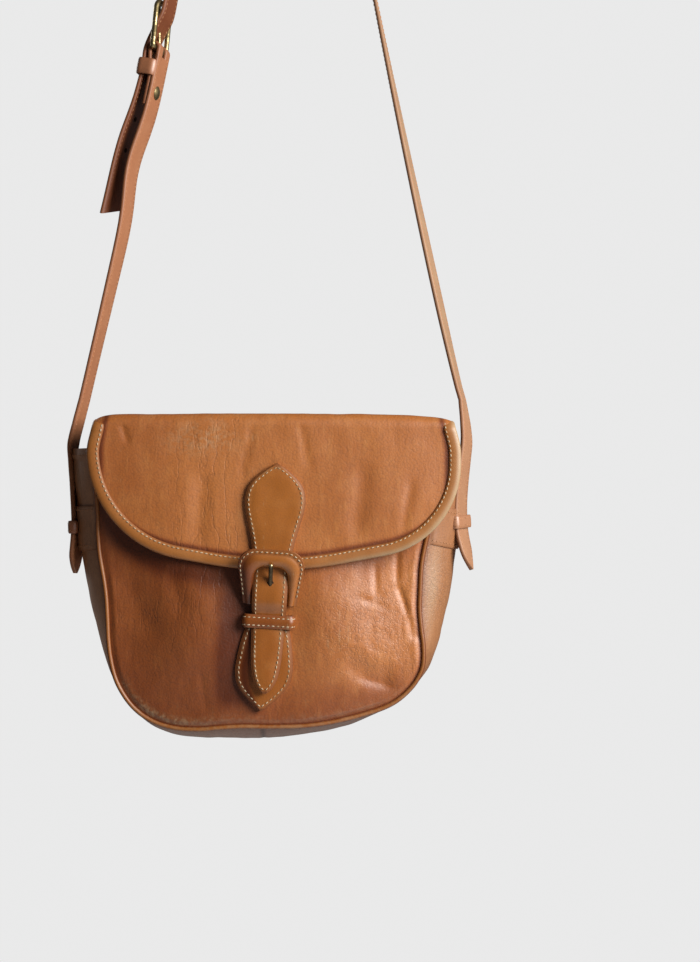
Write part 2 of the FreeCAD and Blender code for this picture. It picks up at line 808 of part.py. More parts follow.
def main():
    os.makedirs("parts", exist_ok=True)
    save("front_panel", panel(-mouth_drop, front_face, 1))
    save("back_panel", panel(-flap_wall - seat_gap, back_face, -1))
    save("front_piping", piping(front_face, 1))
    save("back_piping", piping(back_face, -1))
    for side, word in ((-1, "left"), (1, "right")):
        save("gusset_" + word, gusset(side))
        save("gusset_band_" + word, gusset_band(side))
        save("strap_end_" + word, strap_end(side))
        save("side_keeper_" + word, side_keeper(side))
    save("flap_top", flap_top())
    save("flap_front", flap_front())
    save("flap_binding", flap_binding())
    save("flap_top_binding", flap_top_binding())
    save("closure_billet", closure_billet())
    save("buckle_chape", buckle_chape())
    save("closure_keeper", closure_keeper())
    save("front_buckle_core", front_buckle_core())
    save("front_buckle_cover", front_buckle_cover())
    save("front_buckle_prong", front_buckle_prong())
    save("short_strap", short_strap())
    save("long_strap", long_strap())
    save("strap_buckle_frame", strap_buckle_frame())
    save("strap_buckle_prong", strap_buckle_prong())
    save("strap_buckle_keeper", strap_buckle_keeper())
    save("strap_rivet", strap_rivet())


main()
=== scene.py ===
import math

import bmesh
import bpy
import numpy as np
from mathutils import Matrix, Vector, noise


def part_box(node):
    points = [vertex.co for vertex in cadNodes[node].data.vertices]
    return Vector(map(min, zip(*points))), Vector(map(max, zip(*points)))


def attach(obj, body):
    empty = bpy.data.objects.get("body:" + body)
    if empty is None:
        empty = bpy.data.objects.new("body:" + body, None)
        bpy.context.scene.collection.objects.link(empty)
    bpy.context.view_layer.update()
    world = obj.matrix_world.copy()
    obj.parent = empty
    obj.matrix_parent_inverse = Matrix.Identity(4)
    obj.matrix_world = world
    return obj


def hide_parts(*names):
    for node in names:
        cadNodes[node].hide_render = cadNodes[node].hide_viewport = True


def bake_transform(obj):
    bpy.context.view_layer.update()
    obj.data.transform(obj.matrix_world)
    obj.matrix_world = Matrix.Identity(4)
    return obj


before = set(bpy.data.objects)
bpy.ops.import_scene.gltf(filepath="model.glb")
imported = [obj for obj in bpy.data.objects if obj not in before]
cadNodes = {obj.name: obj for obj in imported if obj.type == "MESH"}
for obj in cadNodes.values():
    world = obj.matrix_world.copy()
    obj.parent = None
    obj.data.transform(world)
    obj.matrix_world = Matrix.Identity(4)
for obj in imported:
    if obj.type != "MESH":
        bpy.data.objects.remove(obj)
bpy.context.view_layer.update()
print("frame loaded with", len(cadNodes), "nodes")

# Places that the pieces are measured from, read off the frame; drops are metres below the flap's top
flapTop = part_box("flap_top")[1].z
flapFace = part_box("flap_front")[0].y
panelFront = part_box("front_panel")[0].y
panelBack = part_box("back_panel")[1].y
lean = 0.058  # the soft body leans to the left as it goes down
closureShift = 0.0045  # the closure's top stands a little right of the middle


def place(x, y, drop):
    return Vector((x, y, flapTop - drop))


# Small tools for lines and meshes

def ramp(low, high, value):
    share = min(max((value - low) / (high - low), 0.0), 1.0)
    return share * share * (3 - 2 * share)


def hump(value, centre, spread):
    return math.exp(-(((value - centre) / spread) ** 2))


def spaced(points, count, ease=None):
    steps = [0.0]
    for a, b in zip(points, points[1:]):
        steps.append(steps[-1] + (b - a).length)
    line = []
    at = 0
    for index in range(count):
        share = index / (count - 1)
        want = steps[-1] * (ease(share) if ease else share)
        while at < len(steps) - 2 and steps[at + 1] < want:
            at += 1
        share = (want - steps[at]) / max(steps[at + 1] - steps[at], 1e-9)
        line.append(points[at].lerp(points[at + 1], share))
    return line


def rounded(corners, radii, steps=20):
    line = [corners[0]]
    for before, corner, after, radius in zip(corners, corners[1:], corners[2:], radii):
        into = (corner - before).normalized()
        out = (after - corner).normalized()
        turn = into.angle(out)
        reach = radius * math.tan(turn / 2)
        centre = corner + (out - into).normalized() * (radius / math.cos(turn / 2))
        first = corner - into * reach - centre
        last = corner + out * reach - centre
        for step in range(steps + 1):
            share = step / steps
            spoke = first * math.sin((1 - share) * turn) + last * math.sin(share * turn)
            line.append(centre + spoke / math.sin(turn))
    line.append(corners[-1])
    return line


def splined(points, steps=12):
    ends = [points[0] * 2 - points[1]] + list(points) + [points[-1] * 2 - points[-2]]
    line = []
    for a, b, c, d in zip(ends, ends[1:], ends[2:], ends[3:]):
        for step in range(steps):
            t = step / steps
            bend = (a * 2 - b * 5 + c * 4 - d) * t**2 + (b * 3 - a - c * 3 + d) * t**3
            line.append((b * 2 + (c - a) * t + bend) / 2)
    line.append(points[-1].copy())
    return line


def table(pairs):
    # smooth curve through a few pairs, read at any place between them
    line = splined([Vector(pair) for pair in pairs])
    xs = [p.x for p in line]
    ys = [p.y for p in line]
    return lambda value: float(np.interp(value, xs, ys))


def tangents(points):
    last = len(points) - 1
    return [(points[min(i + 1, last)] - points[max(i - 1, 0)]).normalized() for i in range(last + 1)]


def makePiece(name, points, faces, finishes, marks=None, faceFinish=None):
    mesh = bpy.data.meshes.new(name)
    mesh.from_pydata([tuple(p) for p in points], [], faces)
    for finish in finishes:
        mesh.materials.append(finish)
    if faceFinish:
        mesh.polygons.foreach_set("material_index", faceFinish)
    mesh.polygons.foreach_set("use_smooth", [True] * len(mesh.polygons))
    # marks in order: a cut side's darkening, specks of rubbed wear, painted shade, wrinkles, and a paler tone that is
    # wear in places and painted sheen in others
    for mark in ("edge", "wear", "soil", "crinkle", "pale"):
        attribute = mesh.attributes.new(mark, "FLOAT", "POINT")
        values = (marks or {}).get(mark)
        if values:
            attribute.data.foreach_set("value", values)
    shell = bmesh.new()
    shell.from_mesh(mesh)
    bmesh.ops.recalc_face_normals(shell, faces=shell.faces)
    shell.to_mesh(mesh)
    shell.free()
    mesh.set_sharp_from_angle(angle=math.radians(52))
    piece = bpy.data.objects.new(name, mesh)
    bpy.context.collection.objects.link(piece)
    return piece


def sheetPiece(name, outer, inner, finishes, marks=None):
    rows = len(outer)
    columns = len(outer[0])
    half = rows * columns
    points = [p for row in outer for p in row] + [p for row in inner for p in row]
    faces = []
    faceFinish = []
    for r in range(rows - 1):
        for c in range(columns - 1):
            corner = r * columns + c
            quad = (corner, corner + 1, corner + columns + 1, corner + columns)
            faces += [quad, tuple(half + i for i in reversed(quad))]
            faceFinish += [0, 1]
    rim = list(range(columns))
    rim += [r * columns + columns - 1 for r in range(1, rows)]
    rim += [half - 1 - c for c in range(1, columns)]
    rim += [r * columns for r in range(rows - 2, 0, -1)]
    for a, b in zip(rim, rim[1:] + rim[:1]):
        faces.append((a, a + half, b + half, b))
        faceFinish.append(0)
    both = {mark: list(values) + list(values) for mark, values in (marks or {}).items()}
    return makePiece(name, points, faces, finishes, both, faceFinish)


def sweepPiece(name, groups, finish, edge=None, loop=False, marks=None):
    # each group is a run of rings, closed on itself or capped at both ends
    points = []
    faces = []
    for rings in groups:
        size = len(rings[0])
        count = len(rings)
        start = len(points)
        points += [p for ring in rings for p in ring]
        for r in range(count if loop else count - 1):
            near = start + r * size
            far = start + (r + 1) % count * size
            for p in range(size):
                other = (p + 1) % size
                faces.append((near + p, near + other, far + other, far + p))
        if not loop:
            faces.append(tuple(reversed(range(start, start + size))))
            faces.append(tuple(start + (count - 1) * size + p for p in range(size)))
    allMarks = dict(marks or {})
    if edge:
        allMarks["edge"] = edge
    return makePiece(name, points, faces, [finish], allMarks)


# Shader tools: a wire is a socket that takes part in sums, a finish is one material

def feed(tree, slot, value):
    if isinstance(value, Wire):
        tree.links.new(value.socket, slot)
    else:
        slot.default_value = value


class Wire:
    def __init__(self, tree, socket):
        self.tree = tree
        self.socket = socket

    def maths(self, operation, first, second):
        node = self.tree.nodes.new("ShaderNodeMath")
        node.operation = operation
        feed(self.tree, node.inputs[0], first)
        feed(self.tree, node.inputs[1], second)
        return Wire(self.tree, node.outputs[0])

    def __add__(self, other):
        return self.maths("ADD", self, other)

    def __radd__(self, other):
        return self.maths("ADD", other, self)

    def __sub__(self, other):
        return self.maths("SUBTRACT", self, other)

    def __rsub__(self, other):
        return self.maths("SUBTRACT", other, self)

    def __mul__(self, other):
        return self.maths("MULTIPLY", self, other)

    def __rmul__(self, other):
        return self.maths("MULTIPLY", other, self)


class Finish:
    def __init__(self, name):
        self.material = bpy.data.materials.new(name)
        self.material.use_nodes = True
        self.tree = self.material.node_tree
        self.tree.nodes.clear()

    def node(self, kind, sockets=None, output=0, **settings):
        made = self.tree.nodes.new("ShaderNode" + kind)
        for key, value in settings.items():
            setattr(made, key, value)
        for key, value in (sockets or {}).items():
            if isinstance(key, int):
                slot = made.inputs[key]
            else:
                slot = next(s for s in made.inputs if key in (s.identifier, s.name))
            feed(self.tree, slot, value)
        if output is None:
            return None
        if isinstance(output, int):
            return Wire(self.tree, made.outputs[output])
        return Wire(self.tree, next(s for s in made.outputs if output in (s.identifier, s.name)))

    def between(self, value, low, high):
        settings = {"Value": value, "From Min": low, "From Max": high}
        return self.node("MapRange", settings, interpolation_type="SMOOTHSTEP")

    def blendColour(self, share, first, second):
        sockets = {"Factor_Float": share, "A_Color": first, "B_Color": second}
        return self.node("Mix", sockets, output="Result_Color", data_type="RGBA")

    def mark(self, name):
        return self.node("Attribute", output="Fac", attribute_name=name)

    def close(self, sockets):
        shader = self.node("BsdfPrincipled", sockets)
        self.node("OutputMaterial", {"Surface": shader}, output=None)
        return self.material


def leather(name, look):
    f = Finish(name)
    here = f.node("TexCoord", output="Object")
    cloud = f.node("TexNoise", {"Vector": here, "Scale": 13.0, "Detail": 3.0})
    mottle = f.node("TexNoise", {"Vector": here, "Scale": 75.0, "Detail": 5.0, "Roughness": 0.62})
    fine = f.node("TexNoise", {"Vector": here, "Scale": 900.0, "Detail": 2.0})
    push = f.node("TexNoise", {"Vector": here, "Scale": 160.0, "Detail": 2.0}, output="Color")
    shift = f.node("VectorMath", {0: push, "Scale": look["wander"]}, operation="SCALE")
    bent = f.node("VectorMath", {0: here, 1: shift}, operation="ADD")
    cells = f.node("TexVoronoi", {"Vector": bent, "Scale": look["grainScale"]}, output="Distance")
    pebble = 1.0 - cells * cells
    drawn = f.node("Mapping", {"Vector": bent, "Rotation": (0.0, 0.1, 0.0), "Scale": (95.0, 95.0, 24.0)})
    ripple = f.node("TexNoise", {"Vector": drawn, "Scale": 1.0, "Detail": 3.0})
    ridge = ripple.maths("ABSOLUTE", ripple - 0.5, 0.0)
    crease = (1.0 - f.between(ridge, 0.0, 0.032)) * f.between(cloud, 0.48, 0.66)
    net = f.node("TexNoise", {"Vector": bent, "Scale": 300.0, "Detail": 2.0})
    crinkle = (1.0 - f.between(net.maths("ABSOLUTE", net - 0.5, 0.0), 0.0, 0.07)) * f.mark("crinkle")
    strands = f.node("Mapping", {"Vector": bent, "Scale": (300.0, 300.0, 55.0)})
    strand = f.node("TexNoise", {"Vector": strands, "Scale": 1.0, "Detail": 3.0})
    streaks = f.node("Mapping", {"Vector": here, "Rotation": (0.0, 0.5, 0.0), "Scale": (520.0, 520.0, 26.0)})
    streak = f.node("TexNoise", {"Vector": streaks, "Scale": 1.0, "Detail": 2.0})
    scratch = f.between(streak, 0.68, 0.74) * f.between(mottle, 0.5, 0.62)
    height = pebble * look["grain"] + mottle * 0.22 + strand * look["streak"]
    height = height + fine * 0.08 - crease * look["crease"] - crinkle * 0.55
    bump = f.node("Bump", {"Height": height, "Distance": look["depth"], "Strength": 1.0})
    colour = f.blendColour(f.between(cloud, 0.3, 0.68), look["deep"], look["base"])
    colour = f.blendColour(f.between(mottle, 0.46, 0.78) * look["lightShare"], colour, look["light"])
    colour = f.blendColour((1.0 - f.between(pebble, 0.45, 0.95)) * look["valley"], colour, look["dark"])
    colour = f.blendColour(crease * look["crease"] * 0.45 + crinkle * 0.16, colour, look["dark"])
    colour = f.blendColour(f.between(strand, 0.52, 0.8) * look["streak"] * 0.8, colour, look["light"])
    colour = f.blendColour(scratch * look["scratch"], colour, look["rubbed"])
    # paler tone towards the rubbed colour: real wear in some places, painted sheen in others
    colour = f.blendColour(f.mark("pale") * (0.6 + mottle * 0.8), colour, look["rubbed"])
    # painted shade: darkens, deepens and dulls the colour wherever shade is painted
    soil = f.mark("soil")
    colour = f.blendColour(soil * 0.72, colour, look["dark"])
    colour = f.node("Gamma", {"Color": colour, "Gamma": 1.0 + soil * 0.48})
    speck = f.node("TexNoise", {"Vector": here, "Scale": 380.0, "Detail": 4.0})
    rub = f.mark("wear") * f.between(speck * 0.7 + mottle * 0.5, 0.5, 0.74)
    colour = f.blendColour(rub, colour, look["rubbed"])
    rim = f.mark("edge")
    colour = f.blendColour(rim * 0.55, colour, look["edge"])
    rough = look["rough"] + mottle * 0.16 + rub * 0.2 + rim * 0.3 - f.between(pebble, 0.5, 1.0) * 0.07
    return f.close({
        "Base Color": colour, "Roughness": rough, "Normal": bump,
        "Coat Weight": look["coat"] * (1.0 - rim) * (1.0 - soil * 0.85), "Coat Roughness": look["coatRough"],
        "Coat IOR": 1.8, "Specular IOR Level": 0.5,
    })


def thread(name, clean, shaded):
    f = Finish(name)
    here = f.node("TexCoord", output="Object")
    twist = f.node("TexWave", {"Vector": here, "Scale": 900.0, "Distortion": 3.0}, output="Fac")
    dirt = f.node("TexNoise", {"Vector": here, "Scale": 130.0, "Detail": 3.0})
    colour = f.blendColour(f.between(dirt, 0.42, 0.72), clean, shaded)
    colour = f.blendColour(twist * 0.3, colour, shaded)
    bump = f.node("Bump", {"Height": twist, "Distance": 0.0001, "Strength": 0.6})
    return f.close({"Base Color": colour, "Roughness": 0.75 - twist * 0.1, "Normal": bump})


def metal(name, bright, dull, polish, brightDrop=None, brightTip=(0.62, 0.5, 0.28, 1.0)):
    f = Finish(name)
    here = f.node("TexCoord", output="Object")
    cloud = f.node("TexNoise", {"Vector": here, "Scale": 170.0, "Detail": 5.0, "Roughness": 0.65})
    fine = f.node("TexNoise", {"Vector": here, "Scale": 1500.0, "Detail": 2.0})
    tarnish = f.between(cloud + fine * 0.2, 0.46, 0.72)
    colour = f.blendColour(tarnish, bright, dull)
    if brightDrop:
        height = f.node("SeparateXYZ", {"Vector": here}, output="Z")
        tip = f.between(height, flapTop - brightDrop[0], flapTop - brightDrop[1])
        colour = f.blendColour(tip, colour, brightTip)
    bump = f.node("Bump", {"Height": cloud + fine * 0.15, "Distance": 0.0001, "Strength": 0.5})
    rough = polish + tarnish * 0.25 + fine * 0.08
    return f.close({"Base Color": colour, "Metallic": 1.0, "Roughness": rough, "Normal": bump})


pebbledLook = dict(
    base=(0.5, 0.16, 0.024, 1.0), deep=(0.415, 0.119, 0.014, 1.0), light=(0.59, 0.225, 0.05, 1.0),
    dark=(0.115, 0.034, 0.004, 1.0), rubbed=(0.48, 0.36, 0.21, 1.0), edge=(0.12, 0.028, 0.005, 1.0),
    grainScale=700.0, grain=0.26, crease=0.27, wander=0.0022, streak=0.5,
    depth=0.0004, lightShare=0.34, valley=0.16, scratch=0.22, rough=0.42, coat=0.75, coatRough=0.5,
)
smoothLook = dict(
    pebbledLook, base=(0.385, 0.124, 0.017, 1.0), deep=(0.33, 0.098, 0.011, 1.0), light=(0.44, 0.162, 0.03, 1.0),
    grainScale=1100.0, grain=0.16, crease=0.0, streak=0.08, depth=0.0002, lightShare=0.4, valley=0.12, scratch=0.55,
    rough=0.34, coat=0.3, coatRough=0.4,
)
trimLook = dict(
    smoothLook, base=(0.4, 0.138, 0.02, 1.0), deep=(0.345, 0.11, 0.014, 1.0), light=(0.48, 0.2, 0.05, 1.0),
    rough=0.4, scratch=0.35, coat=0.4, coatRough=0.5,
)
strapLook = dict(
    smoothLook, base=(0.44, 0.17, 0.07, 1.0), deep=(0.38, 0.134, 0.05, 1.0), light=(0.51, 0.235, 0.112, 1.0),
    grainScale=900.0, grain=0.22, rough=0.42, coat=1.0, coatRough=0.5,
)
# the panels' leather with a duller, less saturated base, which stands in for the whitish sheen the gusset's right side
# catches
gussetLook = dict(
    pebbledLook, base=(0.352, 0.143, 0.05, 1.0), deep=(0.305, 0.114, 0.037, 1.0), light=(0.425, 0.192, 0.08, 1.0),
    coat=0.9, coatRough=0.46,
)
pipingLook = dict(
    trimLook, base=(0.35, 0.118, 0.017, 1.0), deep=(0.3, 0.095, 0.012, 1.0), light=(0.42, 0.165, 0.035, 1.0),
)
# near-black leather for discs painted as the shade inside holes
holeLook = dict(
    smoothLook, base=(0.025, 0.011, 0.005, 1.0), deep=(0.015, 0.007, 0.004, 1.0), light=(0.04, 0.018, 0.008, 1.0),
    edge=(0.015, 0.007, 0.004, 1.0), rough=0.8, coat=0.0,
)
fleshLook = dict(
    pebbledLook, base=(0.36, 0.215, 0.115, 1.0), deep=(0.27, 0.15, 0.075, 1.0), light=(0.44, 0.29, 0.17, 1.0),
    dark=(0.14, 0.075, 0.035, 1.0), grainScale=1500.0, grain=0.2, crease=0.1, depth=0.0003, rough=0.75,
    coat=0.0, scratch=0.1,
)
pebbled = leather("pebbledTan", pebbledLook)
gussetTan = leather("gussetTan", gussetLook)
smoothTan = leather("smoothTan", smoothLook)
trimTan = leather("trimTan", trimLook)
pipingTan = leather("pipingTan", pipingLook)
strapTan = leather("strapTan", strapLook)
fleshSide = leather("fleshSide", fleshLook)
holeShade = leather("holeShade", holeLook)
creamThread = thread("creamThread", (0.66, 0.54, 0.37, 1.0), (0.4, 0.26, 0.13, 1.0))
tanThread = thread("tanThread", (0.47, 0.23, 0.11, 1.0), (0.37, 0.16, 0.065, 1.0))
agedBrass = metal("agedBrass", (0.44, 0.35, 0.18, 1.0), (0.15, 0.115, 0.055, 1.0), 0.3)
darkBronze = metal("darkBronze", (0.12, 0.09, 0.055, 1.0), (0.05, 0.038, 0.026, 1.0), 0.36, (0.0995, 0.0975))
plainSteel = metal("plainSteel", (0.5, 0.5, 0.5, 1.0), (0.3, 0.29, 0.28, 1.0), 0.4)
print("finishes made")


# Stitch rows wait here by group until the thread is made at the end
stitchRows = {}


def addStitches(group, points, ups):
    stitchRows.setdefault(group, []).append((list(points), list(ups)))


# Shell of the bag: two panels, the gusset between them and piping on both seams
shell = dict(
    # x and drop of the front piping from the left mouth round to the right one
    seam=(
        (-0.1180, -0.005), (-0.1178, 0.020), (-0.1172, 0.042), (-0.1159, 0.061), (-0.1157, 0.0777), (-0.1149, 0.0903),
        (-0.1132, 0.1012), (-0.1115, 0.1112), (-0.1103, 0.1219), (-0.1096, 0.135), (-0.109, 0.1481), (-0.1076, 0.16),
        (-0.1048, 0.1719), (-0.1005, 0.1814), (-0.0937, 0.191), (-0.085, 0.1984), (-0.0745, 0.2034), (-0.0618, 0.206),
        (-0.0473, 0.2062), (-0.0378, 0.2052), (-0.0219, 0.2042), (-0.0014, 0.2044), (0.0197, 0.2038), (0.0405, 0.2010),
        (0.0615, 0.1959), (0.0745, 0.1912), (0.0831, 0.1857), (0.0906, 0.1782), (0.0949, 0.1713), (0.0971, 0.1653),
        (0.0977, 0.1578), (0.0973, 0.1494), (0.0962, 0.1411), (0.0951, 0.1285), (0.0954, 0.1160), (0.0963, 0.0993),
        (0.0985, 0.0868), (0.1008, 0.0761), (0.1085, 0.038), (0.1120, 0.020), (0.1165, -0.005),
    ),
    mouthDrop=0.020, wall=0.0022, cornerShare=0.33, skin=0.0013,
)


def shellLine(topDrop, count, skin=0.0):
    line = [p for p in splined([Vector(p) for p in shell["seam"]], 10) if p.y >= topDrop]
    inset = shell["skin"] - skin
    line = [p + Vector((ahead.y, -ahead.x)) * inset for p, ahead in zip(line, tangents(line))]
    return spaced(line, count)


def rimRecess(x, drop):
    # how far the front seam falls back behind the panel's middle
    return (0.0022 + 0.0048 * ramp(0.02, 0.09, abs(x + 0.008))) * (0.3 + 0.7 * ramp(0.03, 0.09, drop))


def creaseDepth(lines, x, drop):
    depth = 0.0
    for x0, drop0, x1, drop1, width, deep in lines:
        runX = x1 - x0
        runDrop = drop1 - drop0
        share = ((x - x0) * runX + (drop - drop0) * runDrop) / (runX**2 + runDrop**2)
        held = min(max(share, 0.0), 1.0)
        away = math.hypot(x - x0 - held * runX, drop - drop0 - held * runDrop)
        fade = ramp(-0.02, 0.25, share) * (1 - ramp(0.75, 1.02, share))
        depth += deep * fade * hump(away, 0.0, width)
    return depth


# Flap's sizes and outline, which also say where shade is painted on the panel under it
flap = dict(
    half=0.121, drop=0.1055, cornerRise=0.0225, cornerRadii=(0.072, 0.24, 0.06), wall=0.0026,
    foldRadius=0.0075, backRadius=0.006, backLap=0.027, shoulderIn=0.0042, columns=150, topRows=44, frontRows=72,
    meetY=0.004,
    lobes=((-0.07, 0.052, 0.034, 0.034, 0.0011), (0.068, 0.055, 0.034, 0.036, 0.0013)),
    creases=(
        (-0.0126, 0.003, -0.0216, 0.0453, 0.0016, 0.0006), (0.0169, 0.0024, 0.0233, 0.0388, 0.0016, 0.0006),
        (-0.102, 0.0044, -0.0943, 0.0206, 0.0018, 0.0006), (0.06, 0.03, 0.052, 0.085, 0.007, 0.0012),
        (-0.045, 0.035, -0.05, 0.09, 0.006, 0.001), (0.09, 0.04, 0.083, 0.08, 0.003, 0.0006),
    ),
    backStart=(0, 0.046, -0.592), backEnd=(0, 0.022, -0.577),
    frontStart=(0, -0.018, -0.577), frontEnd=(0, -0.036, -0.600),
)


def flapEdge():
    half = flap["half"]
    side = flap["drop"] - flap["cornerRise"]
    right = [Vector((half, side)), Vector((half, 0.0))]
    left = [Vector((-p.x, p.y)) for p in reversed(right)]
    return rounded(left + [Vector((0.0, flap["drop"]))] + right, flap["cornerRadii"], 40)


edgeLine = flapEdge()[1:-1]
edgeX = [p.x for p in edgeLine]
edgeDrop = [p.y for p in edgeLine]


def frontPaintedShade(x, drop, away):
    # painted shade: darker under the flap where its shadow falls, over the left half that faces away from the lamp,
    # beside the closure where its shadow falls, and darker towards the bottom
    left = 1 - ramp(-0.035, 0.012, x)
    under = 1 - ramp(0.0, 0.022, drop - float(np.interp(x, edgeX, edgeDrop)))
    aside = x + lean * drop - closureShift
    beside = ramp(-0.038, -0.023, aside) * (1 - ramp(-0.006, 0.004, aside))
    beside = beside * ramp(0.108, 0.125, drop) * (1 - ramp(0.176, 0.198, drop))
    bottom = (1 - ramp(0.004, 0.035, away)) * ramp(0.15, 0.185, drop)
    return min(0.95, under * (0.22 + 0.6 * left) + 0.5 * left + 0.8 * beside + 0.4 * bottom * (1 - 0.8 * left))


frontPanel = dict(
    paintedShadeAt=frontPaintedShade, columns=128, rows=112, groove=0.0010, grooveWidth=0.0045, recess=rimRecess, recessReach=0.075,
    lobes=((-0.05, 0.135, 0.036, 0.05, 0.003), (0.042, 0.138, 0.034, 0.05, 0.0038)),
    # wrinkled patch as x, drop, spreads and depth
    patch=(0.064, 0.138, 0.036, 0.038, 0.0003),
    # creases as start x and drop, end x and drop, width, depth
    creases=(
        (0.0806, 0.088, 0.080, 0.112, 0.0022, 0.0011), (0.080, 0.110, 0.0881, 0.1334, 0.0022, 0.0012),
        (0.0875, 0.131, 0.092, 0.150, 0.0025, 0.0010), (0.0533, 0.1188, 0.077, 0.1285, 0.0020, 0.0005),
        (0.058, 0.124, 0.074, 0.117, 0.0018, 0.0006), (0.066, 0.096, 0.0665, 0.122, 0.0020, 0.0008),
        (0.0442, 0.1608, 0.079, 0.1775, 0.0075, 0.0015), (0.052, 0.171, 0.082, 0.180, 0.0030, 0.0007),
        (-0.1, 0.105, -0.078, 0.150, 0.0080, 0.0007), (-0.07, 0.100, -0.056, 0.135, 0.0060, 0.0009),
        (-0.048, 0.165, -0.044, 0.197, 0.0016, 0.0005),
    ),
)


def sideEase(share):
    return 0.4 * share + 0.6 * (0.5 - 0.5 * math.cos(math.pi * share))


def lowEase(share):
    return 0.4 * share + 0.6 * math.sin(math.pi * share / 2)


def panelGrid(topDrop, columns, rows):
    # rows and columns lie closer together near the seam
    steps = 600
    line = shellLine(topDrop, steps + 1)
    turn = round(steps * shell["cornerShare"])
    left = spaced(line[:turn + 1], rows + 1, lowEase)
    right = spaced(line[steps - turn:][::-1], rows + 1, lowEase)
    low = spaced(line[turn:steps + 1 - turn], columns + 1, sideEase)
    grid = []
    for r in range(rows + 1):
        v = lowEase(r / rows)
        row = []
        for c in range(columns + 1):
            u = sideEase(c / columns)
            across = left[r].lerp(right[r], u)
            down = left[0].lerp(right[0], u).lerp(low[c], v)
            corners = left[0].lerp(right[0], u).lerp(low[0].lerp(low[-1], u), v)
            row.append(across + down - corners)
        grid.append(row)
    return grid, line


def rimDistances(grid, line):
    points = np.array([tuple(p) for row in grid for p in row])
    rim = np.array([tuple(p) for p in line])
    nearest = np.full(len(points), 1.0)
    for p in rim:
        nearest = np.minimum(nearest, np.hypot(points[:, 0] - p[0], points[:, 1] - p[1]))
    return nearest


def lobe(shape, x, drop):
    centreX, centreDrop, spreadX, spreadDrop, height = shape
    return height * hump(x, centreX, spreadX) * hump(drop, centreDrop, spreadDrop)


def makePanel(name, topDrop, face, outwards, setting):
    grid, line = panelGrid(topDrop, setting["columns"], setting["rows"])
    distances = rimDistances(grid, line)
    outer = []
    inner = []
    marks = {"soil": [], "wear": [], "pale": [], "crinkle": []}
    index = 0
    for row in grid:
        outerRow = []
        innerRow = []
        for x, drop in row:
            away = distances[index]
            index += 1
            rim = 1 - ramp(0.0, setting["grooveWidth"], away)
            out = -setting["groove"] * rim
            out -= setting["recess"](x, drop) * (1 - ramp(0.0, setting["recessReach"], away))
            full = sum(lobe(shape, x, drop) for shape in setting["lobes"])
            aside = abs(x + lean * drop - closureShift)
            out += full * ramp(0.085, 0.125, drop) * (1 - rim) * ramp(0.006, 0.034, aside)
            out -= creaseDepth(setting["creases"], x, drop)
            net = noise.noise(Vector((x * 165 + drop * 50, drop * 105 - x * 40, 2.5)))
            wrinkled = lobe(setting["patch"], x, drop)
            out -= wrinkled * max(0.0, 1 - abs(net) * 3.2) * (1 - rim)
            out += 0.0009 * noise.noise(Vector((x * 26, drop * 17, face * 90))) * (1 - rim)
            out += 0.00022 * noise.noise(Vector((x * 120, drop * 80, face * 90))) * (1 - rim)
            y = face + outwards * out
            outerRow.append(place(x, y, drop))
            innerRow.append(place(x, y - outwards * shell["wall"], drop))
            # painted shade in the groove along the seam
            seamShade = 0.7 * (1 - ramp(0.0002, 0.0028, away)) + 0.08 * rim
            marks["crinkle"].append(3000 * wrinkled)
            marks["soil"].append(max(seamShade, setting["paintedShadeAt"](x, drop, away)))
            # rubbed strip above the bottom seam, strongest at the lower left
            scuff = ramp(0.165, 0.185, drop) * ramp(0.0008, 0.002, away) * (1 - ramp(0.0035, 0.0085, away))
            lowerLeft = hump(x, -0.072, 0.03)
            marks["wear"].append(0.3 * scuff * lowerLeft + 0.1 * scuff)
            marks["pale"].append(0.22 * scuff * lowerLeft)
        outer.append(outerRow)
        inner.append(innerRow)
    piece = sheetPiece(name, outer, inner, [pebbled, fleshSide], marks)
    return piece


frontSheet = makePanel("frontPanelSheet", shell["mouthDrop"], panelFront, -1, frontPanel)
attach(frontSheet, "bag")
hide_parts("front_panel")

backPanel = dict(
    topDrop=0.004, columns=100, rows=96, groove=0.0026, grooveWidth=0.02, recess=lambda x, drop: 0.0, recessReach=0.02,
    paintedShadeAt=lambda x, drop, away: 0.0, lobes=(), patch=(0.0, 0.12, 0.05, 0.06, 0.0),
    creases=((-0.06, 0.05, -0.02, 0.16, 0.006, 0.001), (0.05, 0.06, 0.03, 0.15, 0.007, 0.001)),
)
backSheet = makePanel("backPanelSheet", backPanel["topDrop"], panelBack, 1, backPanel)
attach(backSheet, "bag")
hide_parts("back_panel")

piping = dict(radius=0.0015, sides=12, count=280, sunk=0.0009)


def makePiping(name, y, recess, node):
    line = shellLine(shell["mouthDrop"], piping["count"], shell["skin"])
    path = [place(p.x, y + recess(p.x, p.y), p.y) for p in line]
    angles = [2 * math.pi * k / piping["sides"] for k in range(piping["sides"])]
    rings = []
    wear = []
    for point, ahead in zip(path, tangents(path)):
        side = ahead.cross(Vector((0, 1, 0)))
        spokes = [side * math.cos(angle) + Vector((0, math.sin(angle), 0)) for angle in angles]
        rings.append([point + spoke * piping["radius"] for spoke in spokes])
        wear += [0.15 * ramp(flapTop - 0.15, flapTop - 0.2, point.z)] * piping["sides"]
    # painted shade where the cord meets the gusset, and a little where it meets the panel
    inwards = [math.cos(angle) for angle in angles]
    soil = [0.95 * max(0.0, -part) ** 1.5 + 0.4 * max(0.0, part) ** 3 for part in inwards]
    piece = sweepPiece(name, [rings], pipingTan, marks={"wear": wear, "soil": soil * len(path)})
    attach(piece, "bag")
    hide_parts(node)


makePiping("frontPipingCord", panelFront + piping["sunk"], rimRecess, "front_piping")
makePiping("backPipingCord", panelBack - piping["sunk"], backPanel["recess"], "back_piping")

